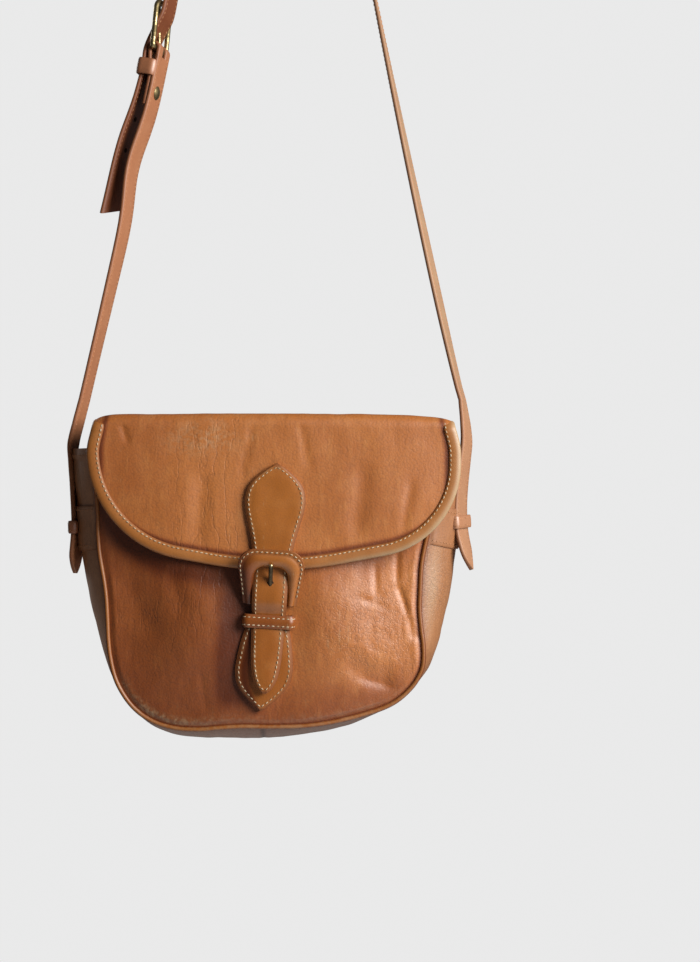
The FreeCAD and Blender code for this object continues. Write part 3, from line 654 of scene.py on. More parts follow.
# Gusset: swell is how far it stands out past the panels, by place along the seam from the left mouth
gusset = dict(
    topDrop=0.022, count=361, depthRows=44, wall=0.002, edgeIn=0.0018, roundness=2.3, hem=0.0065,
    # wrinkles of the right side, and a paler strip there that is painted sheen
    crinkle=0.9, pale=0.26,
    swell=(
        (0.0, 0.0200), (0.04, 0.0200), (0.08, 0.0195), (0.12, 0.0184), (0.16, 0.0175), (0.20, 0.0155), (0.24, 0.0112),
        (0.28, 0.0076), (0.32, 0.0068), (0.36, 0.0078), (0.40, 0.0100), (0.44, 0.0124), (0.48, 0.0134), (0.52, 0.0126),
        (0.56, 0.0108), (0.60, 0.0090), (0.64, 0.0066), (0.68, 0.0050), (0.72, 0.0072), (0.76, 0.0152), (0.80, 0.0219),
        (0.84, 0.0243), (0.88, 0.0236), (0.92, 0.0208), (0.96, 0.0168), (1.0, 0.0122),
    ),
)
seamLine = shellLine(gusset["topDrop"], gusset["count"])
seamAhead = tangents(seamLine)
swellAt = table(gusset["swell"])


def gussetPoint(index, t, lift=0.0):
    share = index / (gusset["count"] - 1)
    bow = 1 - abs(2 * t**0.94 - 1) ** gusset["roundness"]
    base = seamLine[index]
    out = Vector((-seamAhead[index].y, seamAhead[index].x))
    rise = swellAt(share) * bow + lift
    rise += 0.0011 * bow * noise.noise(Vector((base.x * 30, base.y * 22, t * 3.1)))
    rise += 0.0003 * bow * noise.noise(Vector((base.x * 110, base.y * 90, t * 9.0)))
    rise -= 0.0005 * bow * hump(share, 0.5, 0.0035)
    hemEnd = gusset["topDrop"] + gusset["hem"]
    rise += 0.0008 * (1 - ramp(hemEnd, hemEnd + 0.001, base.y))
    near = panelFront + gusset["edgeIn"] + rimRecess(base.x, base.y)
    y = near + (panelBack - gusset["edgeIn"] - near) * t
    flat = base + out * rise
    return place(flat.x, y, flat.y), Vector((out.x, 0, -out.y))


def makeGusset(name, first, last, node):
    outer = []
    inner = []
    marks = {"soil": [], "crinkle": [], "pale": []}
    for r in range(gusset["depthRows"] + 1):
        t = r / gusset["depthRows"]
        outerRow = []
        innerRow = []
        for index in range(first, last + 1):
            point, out = gussetPoint(index, t)
            outerRow.append(point)
            innerRow.append(point - out * gusset["wall"])
            x, drop = seamLine[index]
            # painted shade along both seams, darker at the middle join and towards the bottom
            shaded = 0.8 * hump(t, 0.0, 0.03) + 0.5 * hump(t, 1.0, 0.05)
            shaded += 0.5 * hump(index / (gusset["count"] - 1), 0.5, 0.003)
            marks["soil"].append(shaded + 0.6 * ramp(0.15, 0.2, drop))
            # wrinkles on the right side, and a paler strip near its front seam that is painted sheen
            drawn = hump(drop, 0.112, 0.03) * (x > 0)
            marks["crinkle"].append(gusset["crinkle"] * drawn)
            marks["pale"].append(gusset["pale"] * drawn * hump(t, 0.09, 0.05))
        outer.append(outerRow)
        inner.append(innerRow)
    piece = sheetPiece(name, outer, inner, [gussetTan, fleshSide], marks)
    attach(piece, "bag")
    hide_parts(node)


middle = (gusset["count"] - 1) // 2
makeGusset("gussetLeftSheet", 0, middle, "gusset_left")
makeGusset("gussetRightSheet", middle, gusset["count"] - 1, "gusset_right")

# Band sewn across each side of the gusset, and the hem's stitches above it
band = dict(topDrop=0.059, lowDrop=(0.090, 0.0856), lift=0.0017, reach=0.035, columns=44)


def gussetRange(side, topDrop, lowDrop):
    found = [i for i, p in enumerate(seamLine) if topDrop <= p.y <= lowDrop and (p.x < 0) == (side < 0)]
    return sorted(found, key=lambda i: seamLine[i].y)


def gussetRow(index, lift):
    points = []
    ups = []
    for c in range(band["columns"] + 1):
        t = band["reach"] + (1 - 2 * band["reach"]) * c / band["columns"]
        point, out = gussetPoint(index, t, lift)
        points.append(point)
        ups.append(out)
    return points, ups


for side, word, lowDrop in ((-1, "left", band["lowDrop"][0]), (1, "right", band["lowDrop"][1])):
    rows = gussetRange(side, band["topDrop"], lowDrop)
    outer = []
    inner = []
    edge = []
    for number, index in enumerate(rows):
        atEdge = number in (0, len(rows) - 1)
        outer.append(gussetRow(index, band["lift"] * (0.7 if atEdge else 1.0))[0])
        inner.append(gussetRow(index, 0.0)[0])
        edge += [0.8 if atEdge else 0.0] * (band["columns"] + 1)
    piece = sheetPiece("gussetBand" + word.capitalize(), outer, inner, [gussetTan, fleshSide], {"edge": edge})
    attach(piece, "bag")
    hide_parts("gusset_band_" + word)
    for index in (rows[2], rows[-3]):
        addStitches("bagBand", *gussetRow(index, band["lift"] + 0.0002))
    hemRow = gussetRange(side, gusset["topDrop"] + 0.004, gusset["topDrop"] + 0.02)[0]
    addStitches("bagBand", *gussetRow(hemRow, 0.0004))
print("shell of the bag made")

# Flap: one sheet from the back seam over the top and down the front, in two pieces that meet on the top
flapBack = panelBack + flap["wall"]
fold = flap["foldRadius"]
profile = spaced(rounded(
    [Vector((flapBack, flap["backLap"])), Vector((flapBack, 0.0)), Vector((flapFace, 0.0)), Vector((flapFace, fold))],
    [flap["backRadius"], fold],
), flap["topRows"] + 1)
profileAhead = tangents(profile)


def flapX(column):
    return flap["half"] * math.sin(math.pi * (column / flap["columns"] - 0.5))


def flapPoint(row, x):
    low = float(np.interp(x, edgeX, edgeDrop))
    onTop = row <= flap["topRows"]
    if onTop:
        y, drop = profile[row]
        out = Vector((0, -profileAhead[row].y, -profileAhead[row].x))
    else:
        y, drop = profile[-1]
        drop += (low - drop) * (row - flap["topRows"]) / flap["frontRows"]
        out = Vector((0, -1, 0))
    aside = abs(x) / flap["half"]
    rise = 0.0006 * noise.noise(Vector((x * 24, drop * 16, y * 20 + 4)))
    rise += 0.0002 * noise.noise(Vector((x * 95, drop * 60, y * 60 + 4)))
    rim = min(flap["half"] - abs(x), low - drop) if y < 0 else flap["half"] - abs(x)
    if not onTop:
        full = sum(lobe(shape, x, drop) for shape in flap["lobes"])
        rise += full * ramp(0.017, 0.03, abs(x)) * ramp(0.004, 0.03, rim)
        rise -= creaseDepth(flap["creases"], x, drop)
    sag = 0.0030 * aside**4 + 0.0028 * aside**24 if x > 0 else 0.0045 * aside**24
    high = 1 - ramp(-0.004, 0.027, drop)
    point = place(x - flap["shoulderIn"] * high * x / flap["half"], y, drop + sag * high) + out * rise
    return point, out, rim, drop


def flapGrid(first, last):
    outer = []
    inner = []
    marks = {"soil": [], "wear": []}
    for row in range(first, last + 1):
        outerRow = []
        innerRow = []
        for column in range(flap["columns"] + 1):
            x = flapX(column)
            point, out, rim, drop = flapPoint(row, x)
            outerRow.append(point)
            innerRow.append(point - out * flap["wall"])
            # painted shadow just inside the binding, and painted shade over the flap's left side
            marks["soil"].append(0.8 * hump(rim, 0.0086, 0.0019) + 0.11 * (1 - ramp(-0.1, 0.04, x)))
            rubbed = 0.34 * hump(x, -0.047, 0.02) * hump(drop, 0.016, 0.009) * (point.y < -0.02)
            marks["wear"].append(rubbed + 0.08 * hump(drop, 0.0015, 0.002))
        outer.append(outerRow)
        inner.append(innerRow)
    return outer, inner, marks


lastRow = flap["topRows"] + flap["frontRows"]
meeting = min(range(flap["topRows"]), key=lambda row: abs(profile[row].x - flap["meetY"]))
outer, inner, marks = flapGrid(0, meeting)
flapRear = sheetPiece("flapRearSheet", outer, inner, [pebbled, fleshSide], marks)
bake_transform(flapRear)
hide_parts("flap_top")
outer, inner, marks = flapGrid(meeting, lastRow)
flapFrontSheet = sheetPiece("flapFrontSheet", outer, inner, [pebbled, fleshSide], marks)
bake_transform(flapFrontSheet)
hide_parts("flap_front")

# Binding folded over the flap's edge, with a stitch row near its inner side on both faces
binding = dict(
    width=0.0078, over=0.0011, stitchIn=0.0064, proud=0.0004,
    # round the section: dark cut side, and the paler outer rim that only the right half has, part wear and part
    # painted sheen on the side toward the lamp
    edge=(1, 0.8, 0.1, 0, 0.15, 0.35, 0.35, 0.3, 0.1, 0, 0, 0),
    wornSheenRim=(0.0, 0.0, 0.0, 0.12, 0.6, 0.85, 0.85, 0.5, 0.0, 0.0, 0.0, 0.0),
)


def spacedBoth(points, ups, count):
    runs = np.concatenate([[0.0], np.cumsum([(b - a).length for a, b in zip(points, points[1:])])])
    wanted = np.linspace(0.0, runs[-1], count)
    both = []
    for source in (points, ups):
        parts = [np.interp(wanted, runs, [p[k] for p in source]) for k in range(3)]
        both.append([Vector(values) for values in zip(*parts)])
    return both


def edgePath(side, rows):
    found = [flapPoint(row, side * flap["half"]) for row in rows]
    return [f[0] for f in found], [f[1] for f in found]


def bindingRings(points, ups, group):
    points, ups = spacedBoth(points, ups, max(12, len(points) * 2))
    width = binding["width"]
    top = binding["over"]
    under = -flap["wall"] - binding["over"]
    section = [
        (width, top * 0.15), (width * 0.95, top * 0.7), (width * 0.87, top), (width * 0.4, top * 1.1),
        (0.0009, top * 0.9), (-0.0002, top * 0.2), (-binding["proud"], -flap["wall"] / 2),
        (-0.0002, under - top * 0.2 + top), (0.0009, under + top * 0.1), (width * 0.4, under), (width * 0.9, under),
        (width, under + top * 0.6),
    ]
    rings = []
    rows = ([], [])
    for point, up, ahead in zip(points, ups, tangents(points)):
        up = (up - ahead * up.dot(ahead)).normalized()
        inwards = up.cross(ahead)
        rings.append([point + inwards * a + up * b for a, b in section])
        rows[0].append(point + inwards * binding["stitchIn"] + up * (top + 0.0001))
        rows[1].append(point + inwards * binding["stitchIn"] + up * (under - 0.0001))
    addStitches(group, rows[0], ups)
    addStitches(group, rows[1], [-up for up in ups])
    return rings


leftRear = bindingRings(*edgePath(-1, range(0, meeting + 1)), "flapRear")
rightRear = bindingRings(*edgePath(1, range(meeting, -1, -1)), "flapRear")
bindingEdge = list(binding["edge"])
rearEdge = bindingEdge * len(leftRear + rightRear)
rearBinding = sweepPiece("flapRearBinding", [leftRear, rightRear], trimTan, rearEdge)
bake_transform(rearBinding)
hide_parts("flap_top_binding")
points, ups = edgePath(-1, range(meeting, lastRow + 1))
for column in range(1, flap["columns"]):
    point, up = flapPoint(lastRow, flapX(column))[:2]
    points.append(point)
    ups.append(up)
tail = edgePath(1, range(lastRow, meeting - 1, -1))
frontRings = bindingRings(points + tail[0], ups + tail[1], "flapFrontEdge")
# part wear, part painted sheen, on the right half of the binding's outer rim
paintedSheenRight = [share * ramp(0.0, 0.09, ring[0].x) for ring in frontRings for share in binding["wornSheenRim"]]
frontBinding = sweepPiece(
    "flapFrontBinding", [frontRings], trimTan, bindingEdge * len(frontRings), marks={"pale": paintedSheenRight},
)
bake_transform(frontBinding)
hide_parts("flap_binding")
print("flap made")

# Closure: the leaf and billet on the flap, the lower leaf on the panel, its keeper and the covered buckle
closure = dict(barDrop=0.122, barY=-0.03448, tilt=19.5)
closureTurn = math.atan(lean)


def closurePoint(x, y, drop):
    leaned = x * math.cos(closureTurn) - drop * math.sin(closureTurn) + closureShift
    return place(leaned, y, x * math.sin(closureTurn) + drop * math.cos(closureTurn))


def leafPiece(name, setting, finish, group):
    halfAt = table(setting["halves"])
    backAt = table(setting["backs"])
    wallAt = table(setting["walls"])
    first = setting["halves"][0][0]
    last = setting["halves"][-1][0]
    outer = []
    inner = []
    marks = {"edge": [], "wear": [], "soil": []}
    steps = setting["rows"]
    across = setting["columns"]
    for r in range(steps + 1):
        drop = first + (last - first) * (0.5 - 0.5 * math.cos(math.pi * r / steps))
        half = max(halfAt(drop), 0.0003)
        outerRow = []
        innerRow = []
        for c in range(across + 1):
            u = math.sin(math.pi * (c / across - 0.5))
            rim = half * (1 - abs(u))
            tips = min(drop - first, last - drop) * 0.7
            rim = min(rim, max(tips, 0.0))
            y = backAt(drop)
            front = y - wallAt(drop) + 0.0009 * (1 - ramp(0.0, 0.0016, rim))
            front -= setting["puff"] * ramp(0.001, 0.007, rim)
            wave = 0.00025 * noise.noise(Vector((u * half * 130, drop * 75, 1.7)))
            x = u * half + setting["drift"] * (drop - first)
            outerRow.append(closurePoint(x, front + wave, drop))
            innerRow.append(closurePoint(x, y, drop))
            marks["edge"].append(0.75 * (1 - ramp(0.0009, 0.0022, rim)) + 0.25 * (1 - ramp(0.0012, 0.0034, rim)))
            marks["wear"].append(0.3 * hump(rim, 0.0022, 0.0008))
            # painted shadow that the billet casts on the chape's left part
            marks["soil"].append(setting["shade"] * hump(u, -0.68, 0.2))
        outer.append(outerRow)
        inner.append(innerRow)
    piece = sheetPiece(name, outer, inner, [finish, fleshSide], marks)
    line = [Vector((halfAt(d), d)) for d in np.linspace(first, last, 240)]
    raised = setting["puff"] * ramp(0.001, 0.007, setting["stitchIn"])
    topStitch, lowStitch = setting["stitched"]
    for side in (-1, 1):
        row = []
        for point, ahead in zip(line, tangents(line)):
            spot = point + Vector((-ahead.y, ahead.x)) * setting["stitchIn"]
            if spot.x > 0.0012 and topStitch < spot.y < lowStitch:
                x = side * spot.x + setting["drift"] * (spot.y - first)
                row.append(closurePoint(x, backAt(spot.y) - wallAt(spot.y) - raised - 0.0001, spot.y))
        addStitches(group, row, [Vector((0, -1, 0))] * len(row))
    return piece


billet = dict(
    halves=(
        (0.0325, 0.0), (0.035, 0.0046), (0.038, 0.0087), (0.0428, 0.0140), (0.048, 0.0177), (0.055, 0.0195),
        (0.063, 0.0190), (0.0727, 0.0167), (0.081, 0.0146), (0.089, 0.0130), (0.096, 0.0117), (0.103, 0.0113),
        (0.126, 0.0112), (0.150, 0.0103), (0.160, 0.0098), (0.168, 0.0087), (0.1736, 0.0072), (0.178, 0.0049),
        (0.181, 0.0022), (0.182, 0.0),
    ),
    backs=(
        (0.030, -0.0362), (0.088, -0.0362), (0.096, -0.0374), (0.103, -0.0376), (0.109, -0.0389), (0.122, -0.0389),
        (0.131, -0.0350), (0.140, -0.0352), (0.160, -0.0361), (0.182, -0.0372),
    ),
    walls=((0.030, 0.0028), (0.09, 0.0027), (0.104, 0.0021), (0.182, 0.0021)),
    rows=150, columns=22, puff=0.0004, stitchIn=0.0024, stitched=(0.0345, 0.1805), drift=0.0, shade=0.0,
)
billetPiece = leafPiece("closureBilletStrap", billet, smoothTan, "flap_front")
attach(billetPiece, "flap_front")
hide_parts("closure_billet")

# dark sunk disc painted as the shade inside the prong's hole
hole = dict(drop=0.1102, radius=0.0022, proud=0.0005, steps=24)
holeFace = table(billet["backs"])(hole["drop"]) - table(billet["walls"])(hole["drop"]) - hole["proud"]
rim = []
for step in range(hole["steps"]):
    angle = 2 * math.pi * step / hole["steps"]
    rim.append((hole["radius"] * math.cos(angle), hole["drop"] + hole["radius"] * math.sin(angle)))
rings = [[closurePoint(x, holeFace + deep, drop) for x, drop in rim] for deep in (0.0, 0.0012)]
holePiece = sweepPiece("closureBilletHole", [rings], holeShade)
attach(holePiece, "flap_front")

chape = dict(
    halves=(
        (0.1235, 0.0098), (0.128, 0.0101), (0.134, 0.0119), (0.141, 0.0145), (0.150, 0.0166), (0.160, 0.0181),
        (0.168, 0.0186), (0.176, 0.0170), (0.182, 0.0131), (0.188, 0.0074), (0.192, 0.0027), (0.194, 0.0),
    ),
    backs=((0.1235, -0.0331), (0.131, -0.0318), (0.14, -0.0314), (0.165, -0.0311), (0.194, -0.0303)),
    walls=((0.1235, 0.0026), (0.13, 0.0029), (0.165, 0.0034), (0.194, 0.0034)),
    rows=90, columns=26, puff=0.0004, stitchIn=0.0024, stitched=(0.1285, 0.1925), drift=-0.03, shade=0.95,
)
chapePiece = leafPiece("buckleChapeLeaf", chape, smoothTan, "bag")
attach(chapePiece, "bag")
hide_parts("buckle_chape")


def tubeRings(centre, inner, outer, half, steps=28):
    # leather rolled round a bar that lies across the closure
    rings = []
    for step in range(steps):
        angle = 2 * math.pi * step / steps
        ring = []
        for radius, x in ((inner, -half), (outer, -half), (outer, half), (inner, half)):
            y = closure["barY"] + radius * math.cos(angle)
            ring.append(closurePoint(x, y, centre + radius * math.sin(angle)))
        rings.append(ring)
    return rings


roll = dict(inner=0.0013, outer=0.0028, half=0.0099, prongGap=0.003)
rollHalves = []
for side in (-1, 1):
    low = roll["prongGap"]
    rings = tubeRings(closure["barDrop"], roll["inner"], roll["outer"], (roll["half"] - low) / 2)
    shift = closurePoint(side * (roll["half"] + low) / 2, 0, 0) - closurePoint(0, 0, 0)
    rollHalves.append([[p + shift for p in ring] for ring in rings])
rollPiece = sweepPiece("buckleChapeRoll", rollHalves, smoothTan, loop=True)
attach(rollPiece, "bag")


# Closed leather loops, with two stitch rows on the outer face where a group for them is given
plainLoop = dict(stitchIn=0.0019, puff=1.12, soil=0.0, pale=0.0)


def loopPiece(name, path, axis, setting, finish, group):
    height = setting["height"]
    wall = setting["wall"]
    puff = setting["puff"]
    count = len(path)
    centre = sum(path, Vector()) / count
    rings = []
    rows = ([], [])
    ups = []
    for index, point in enumerate(path):
        ahead = (path[(index + 1) % count] - path[index - 1]).normalized()
        out = ahead.cross(axis).normalized()
        if out.dot(point - centre) < 0:
            out = -out
        section = (
            (0, -0.5), (wall * 0.7, -0.5), (wall, -0.42), (wall * puff, -0.15), (wall * puff, 0.15), (wall, 0.42),
            (wall * 0.7, 0.5), (0, 0.5),
        )
        rings.append([point + out * a + axis * (b * height) for a, b in section])
        ups.append(out)
        for row, side in zip(rows, (-1, 1)):
            sideways = side * (height / 2 - setting["stitchIn"])
            row.append(point + out * (wall * (0.5 + puff / 2)) + axis * sideways)
    for row in rows if group else ():
        addStitches(group, row + row[:1], ups + ups[:1])
    edge = [0.9, 0.7, 0.15, 0, 0, 0.15, 0.7, 0.9]
    marks = {mark: [setting[mark]] * (len(edge) * count) for mark in ("soil", "pale")}
    return sweepPiece(name, [rings], finish, edge * count, loop=True, marks=marks)


def flatLoop(setting, count=72):
    # rounded rectangle as width and thickness pairs, anticlockwise
    half = setting["half"]
    low = setting["low"]
    high = setting["high"]
    corners = [(0, low), (half, low), (half, high), (-half, high), (-half, low), (0, low)]
    return spaced(rounded([Vector(c) for c in corners], [setting["radius"]] * 4, 8), count + 1)[:-1]


# the closure's keeper is darkened with painted shade
keeper = dict(
    plainLoop, half=0.0150, low=-0.0376, high=-0.0322, radius=0.0014, drop=0.1352, height=0.0088, wall=0.0013,
    puff=1.7, soil=0.3,
)
path = [closurePoint(p.x, p.y, keeper["drop"]) for p in flatLoop(keeper)]
closureUp = (closurePoint(0, 0, 0) - closurePoint(0, 0, 1)).normalized()
keeperPiece = loopPiece("closureKeeperLoop", path, closureUp, keeper, smoothTan, "bag")
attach(keeperPiece, "bag")
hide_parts("closure_keeper")

# Leather-covered buckle: a padded ridge with a flat sewn flange on its outer side
cover = dict(
    topHalf=0.0232, endHalf=0.0174, top=0.0361, endDrop=0.0018, cornerRadius=0.0112,
    windowHalf=0.0108, windowTop=0.0240, windowRadius=0.0072, count=120,
    # share of the way from the window to the outer side, and height there
    section=(
        (0.0, -0.0004), (0.02, 0.0009), (0.10, 0.0020), (0.25, 0.0028), (0.42, 0.0030), (0.57, 0.0026), (0.68, 0.0018),
        (0.74, 0.0013), (0.86, 0.0012), (0.97, 0.0010), (1.0, 0.0002), (0.97, -0.0008), (0.7, -0.0014), (0.3, -0.0018),
        (0.06, -0.0014),
    ),
    edge=(0.4, 0.1, 0, 0, 0, 0, 0.1, 0.6, 0.15, 0.9, 1, 0.9, 0.1, 0, 0.1), stitchAt=(0.86, 0.0014), bareEnds=8,
)


def coverPoint(x, z, depth):
    tilt = math.radians(closure["tilt"])
    y = closure["barY"] - z * math.sin(tilt) - depth * math.cos(tilt)
    return closurePoint(x, y, closure["barDrop"] - z * math.cos(tilt) + depth * math.sin(tilt))


def horseshoe(endHalf, topHalf, top, radius):
    low = -cover["endDrop"]
    corners = [(-endHalf, low), (-topHalf, top), (topHalf, top), (endHalf, low)]
    return spaced(rounded([Vector(c) for c in corners], [radius] * 2, 24), cover["count"] + 1)


outerShoe = horseshoe(cover["endHalf"], cover["topHalf"], cover["top"], cover["cornerRadius"])
innerShoe = horseshoe(cover["windowHalf"], cover["windowHalf"], cover["windowTop"], cover["windowRadius"])
rings = []
row = []
shade = []
for k, (near, far) in enumerate(zip(innerShoe, outerShoe)):
    slim = min(1.0, 0.72 + (far - near).length * 30)
    spots = [(near.lerp(far, share), depth * slim) for share, depth in cover["section"] + (cover["stitchAt"],)]
    ring = [coverPoint(spot.x, spot.y, depth) for spot, depth in spots]
    row.append(ring.pop())
    rings.append(ring)
    # the left limb is darkened with painted shade
    shade += [0.7 * (1 - ramp(0.22, 0.45, k / cover["count"]))] * len(ring)
coverOut = (coverPoint(0, 0, 1) - coverPoint(0, 0, 0)).normalized()
row = row[cover["bareEnds"]:-cover["bareEnds"]]
addStitches("front_buckle", row, [coverOut] * len(row))
coverEdge = list(cover["edge"]) * len(rings)
coverPiece = sweepPiece("frontBuckleCover", [rings], smoothTan, coverEdge, marks={"soil": shade})
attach(coverPiece, "front_buckle")
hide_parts("front_buckle_cover")
print("closure made")

# Shoulder strap in two lengths; each lower end lies on the gusset under its keeper
strap = dict(
    half=0.010, thick=0.0013, pegCentre=(0, 0, -0.012), pegRadius=0.0133, barPoint=(-0.078597, 0, -0.333),
    barShift=0.00313, frameLength=0.031, buckleTurn=14, tipLength=0.016, stitchIn=0.0025,
    leftShoulder=(-0.126, 0, -0.010), rightSteps=70, pegSteps=24, leftSteps=40,
    tailOut=0.00603, tailMiddle=(0.0074, -0.06), tailEndOut=0.011, tailLength=0.105, tailCut=0.0063, tailSlant=0.37,
    # bows; those of the left side as depth, place below the buckle's bar and spread
    bow=0.0047, leftBow=(0.0043, -0.078, 0.028), tailBow=(0.0026, -0.065, 0.026),
    # way through the buckle, in lengths of its frame and in shares of the tail's distance from the bar
    crossUp=(2.0, 1.3, 0.8, 0.5, 0.0, -0.35, -0.7), crossOut=(0.0, -0.12, -0.1, 0.36, 1.0, 0.92, 0.92),
    # x and drop of the strap's middle, with its turn in degrees
    right=(
        (0.1309, 0.1035, 17), (0.1276, 0.092, 22), (0.1247, 0.08, 25), (0.1236, 0.07, 26), (0.1236, 0.058, 25),
        (0.1247, 0.044, 24), (0.1263, 0.030, 23), (0.1275, 0.018, 22), (0.1268, 0.006, 19), (0.1246, -0.0105, 13),
    ),
    left=(
        (-0.1348, 0.1058, 14), (-0.1344, 0.094, 12), (-0.1343, 0.082, 5), (-0.1346, 0.072, -1), (-0.1352, 0.060, -2),
        (-0.1359, 0.0443, -1), (-0.1363, 0.030, 3), (-0.1360, 0.0186, 8), (-0.1325, 0.004, 8), (-0.1287, -0.0105, 7),
    ),
    blendStart=(0, 0, -0.54), blendEnd=(0, 0, -0.60),
)


def turned(degrees):
    return Vector((math.sin(math.radians(degrees)), math.cos(math.radians(degrees)), 0))


def tangentPoint(shoulder, side):
    centre = Vector(strap["pegCentre"])
    reach = shoulder - centre
    angle = math.atan2(reach.z, reach.x) + side * math.acos(strap["pegRadius"] / reach.length)
    return centre + Vector((math.cos(angle), 0, math.sin(angle))) * strap["pegRadius"], angle


def sidePath(rows):
    line = splined([place(x, 0, drop) for x, drop, turn in rows], 8)
    turns = np.interp(np.linspace(0, 1, len(line)), np.linspace(0, 1, len(rows)), [row[2] for row in rows])
    return line, [turned(turn) for turn in turns]


def between(a, b, count):
    return [a.lerp(b, k / (count + 1)) for k in range(1, count + 1)]


rightLine, rightTurns = sidePath(strap["right"])
leftLine, leftTurns = sidePath(strap["left"])
rightTop, rightAngle = tangentPoint(rightLine[-1], 1)
leftShoulder = place(*strap["leftShoulder"])
leftTop, leftAngle = tangentPoint(leftShoulder, -1)
bar = Vector(strap["barPoint"])
strapUp = (leftTop - leftShoulder).normalized()
strapAcross = turned(strap["buckleTurn"])
strapAcross = (strapAcross - strapUp * strapAcross.dot(strapUp)).normalized()
strapOut = strapUp.cross(strapAcross)


def onStrap(out, up, across=0.0):
    return bar + strapOut * out + strapUp * up + strapAcross * across


def bowed(point, setting):
    # soft leather bows away to the left below the buckle
    depth, up, spread = setting
    return point - Vector((depth * hump((point - bar).dot(strapUp), up, spread), 0, 0))


def strapRings(points, acrosses, group, taper=0.0, stitched=True, half=None):
    # rounded flat section along a path; taper is the length of a pointed start
    half = half or strap["half"]
    thick = strap["thick"]
    section = []
    flat = half - 0.0009
    cut = half - 0.0002
    for side in (1, -1):
        section += [(side * x, side * -thick) for x in (-flat, -half * 0.5, 0.0, half * 0.5, flat)]
        section += [(side * cut, side * -thick * 0.62), (side * half, 0.0), (side * cut, side * thick * 0.62)]
    rings = []
    rows = ([], [], [], [])
    ups = []
    run = 0.0
    for index, (point, across) in enumerate(zip(points, acrosses)):
        ahead = tangents(points[max(index - 1, 0):index + 2])[min(index, 1)]
        across = (across - ahead * across.dot(ahead)).normalized()
        out = ahead.cross(across)
        if index:
            run += (point - points[index - 1]).length
        narrow = 1.0
        if taper:
            share = min(max(run / taper, 0.0), 1.0)
            narrow = max(0.06, math.sin(share * math.pi / 2) ** 0.75)
        rings.append([point + across * (a * narrow) + out * b for a, b in section])
        if narrow > 0.45:
            inset = half * narrow - strap["stitchIn"]
            for row, (side, face) in zip(rows, ((-1, -1), (1, -1), (-1, 1), (1, 1))):
                row.append(point + across * (side * inset) + out * (face * thick))
            ups.append(out)
    if stitched:
        for row, face in zip(rows, (-1, -1, 1, 1)):
            addStitches(group, row, [up * face for up in ups])
    return rings


strapEdge = [0.35, 0, 0, 0, 0.35, 0.9, 1.0, 0.9] * 2

# Long strap: right gusset, over the peg, through the buckle and down as a loose tail
points = list(rightLine)
acrosses = list(rightTurns)
for k, point in enumerate(between(rightLine[-1], rightTop, strap["rightSteps"])):
    share = (k + 1) / (strap["rightSteps"] + 1)
    points.append(point - Vector((strap["bow"] * math.sin(math.pi * share) ** 0.6, 0, 0)))
    acrosses.append(turned(13 + 3 * ramp(0.0, 0.12, share) - 16 * ramp(0.12, 0.7, share)))
overPeg = leftAngle % (2 * math.pi) - rightAngle % (2 * math.pi)
for step in range(strap["pegSteps"] + 1):
    angle = rightAngle + overPeg * step / strap["pegSteps"]
    points.append(Vector(strap["pegCentre"]) + Vector((math.cos(angle), 0, math.sin(angle))) * strap["pegRadius"])
    acrosses.append(turned(0))
crossing = [
    onStrap(out * strap["tailOut"], up * strap["frameLength"]) for up, out in zip(strap["crossUp"], strap["crossOut"])
]
crossing.append(onStrap(*strap["tailMiddle"]))
crossing.append(onStrap(strap["tailEndOut"], -strap["tailLength"]))
steps = strap["leftSteps"]
points += between(points[-1], crossing[0], steps)
acrosses += [turned(strap["buckleTurn"] * ramp(0.0, 1.0, k / (steps - 1))) for k in range(steps)]
for point in splined(crossing, 10):
    below = ramp(-0.03, -strap["tailLength"], (point - bar).dot(strapUp))
    points.append(bowed(point, strap["tailBow"]))
    acrosses.append(Matrix.Rotation(math.radians(-16 * below), 3, strapUp) @ strapAcross)
longRings = strapRings(points, acrosses, "strapRun", taper=strap["tipLength"])
cutRings = 10
for k in range(1, cutRings + 1):
    # the tail is cut on the slant
    at = k - cutRings - 1
    for p in longRings[at]:
        slant = (p - points[at]).dot(strapAcross) * strap["tailSlant"]
        p -= strapUp * ((strap["tailCut"] - slant) * k / cutRings)
# one face runs darker along the long strap: partly the flesh side's own colour, partly painted shade
fleshToneAndShade = [0, 0, 0, 0, 0, 0, 0, 0.3, 0.7, 0.7, 0.7, 0.7, 0.7, 0.3, 0, 0]
# painted sheen on the right-hand strap, stronger above the flap's top
paintedSheenRight = [
    ramp(0.03, 0.07, p.x) * (0.22 + 0.26 * ramp(-0.01, 0.05, p.z - flapTop)) for ring in longRings for p in ring
]
longStrap = sweepPiece(
    "longStrapBelt", [longRings], strapTan, strapEdge * len(longRings),
    marks={"soil": fleshToneAndShade * len(longRings), "pale": paintedSheenRight},
)
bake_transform(longStrap)
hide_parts("long_strap", "strap_end_right")

# Holes in the tail, as dark sunk discs painted with the shade inside a hole
tailHole = dict(ups=(-0.048, -0.070), radius=0.0016, steps=20)
groups = []
for up in tailHole["ups"]:
    index = min(range(len(points) - 60, len(points)), key=lambda i: abs((points[i] - bar).dot(strapUp) - up))
    ahead = tangents(points)[index]
    across = (acrosses[index] - ahead * acrosses[index].dot(ahead)).normalized()
    out = ahead.cross(across)
    out = out if out.y < 0 else -out
    angles = [2 * math.pi * step / tailHole["steps"] for step in range(tailHole["steps"])]
    spokes = [(across * math.cos(a) + ahead * math.sin(a)) * tailHole["radius"] for a in angles]
    lifts = (strap["thick"] + 0.0002, strap["thick"] - 0.0008)
    groups.append([[points[index] + out * lift + spoke for spoke in spokes] for lift in lifts])
tailHoles = sweepPiece("strapTailHoles", groups, holeShade)
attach(tailHoles, "strap")

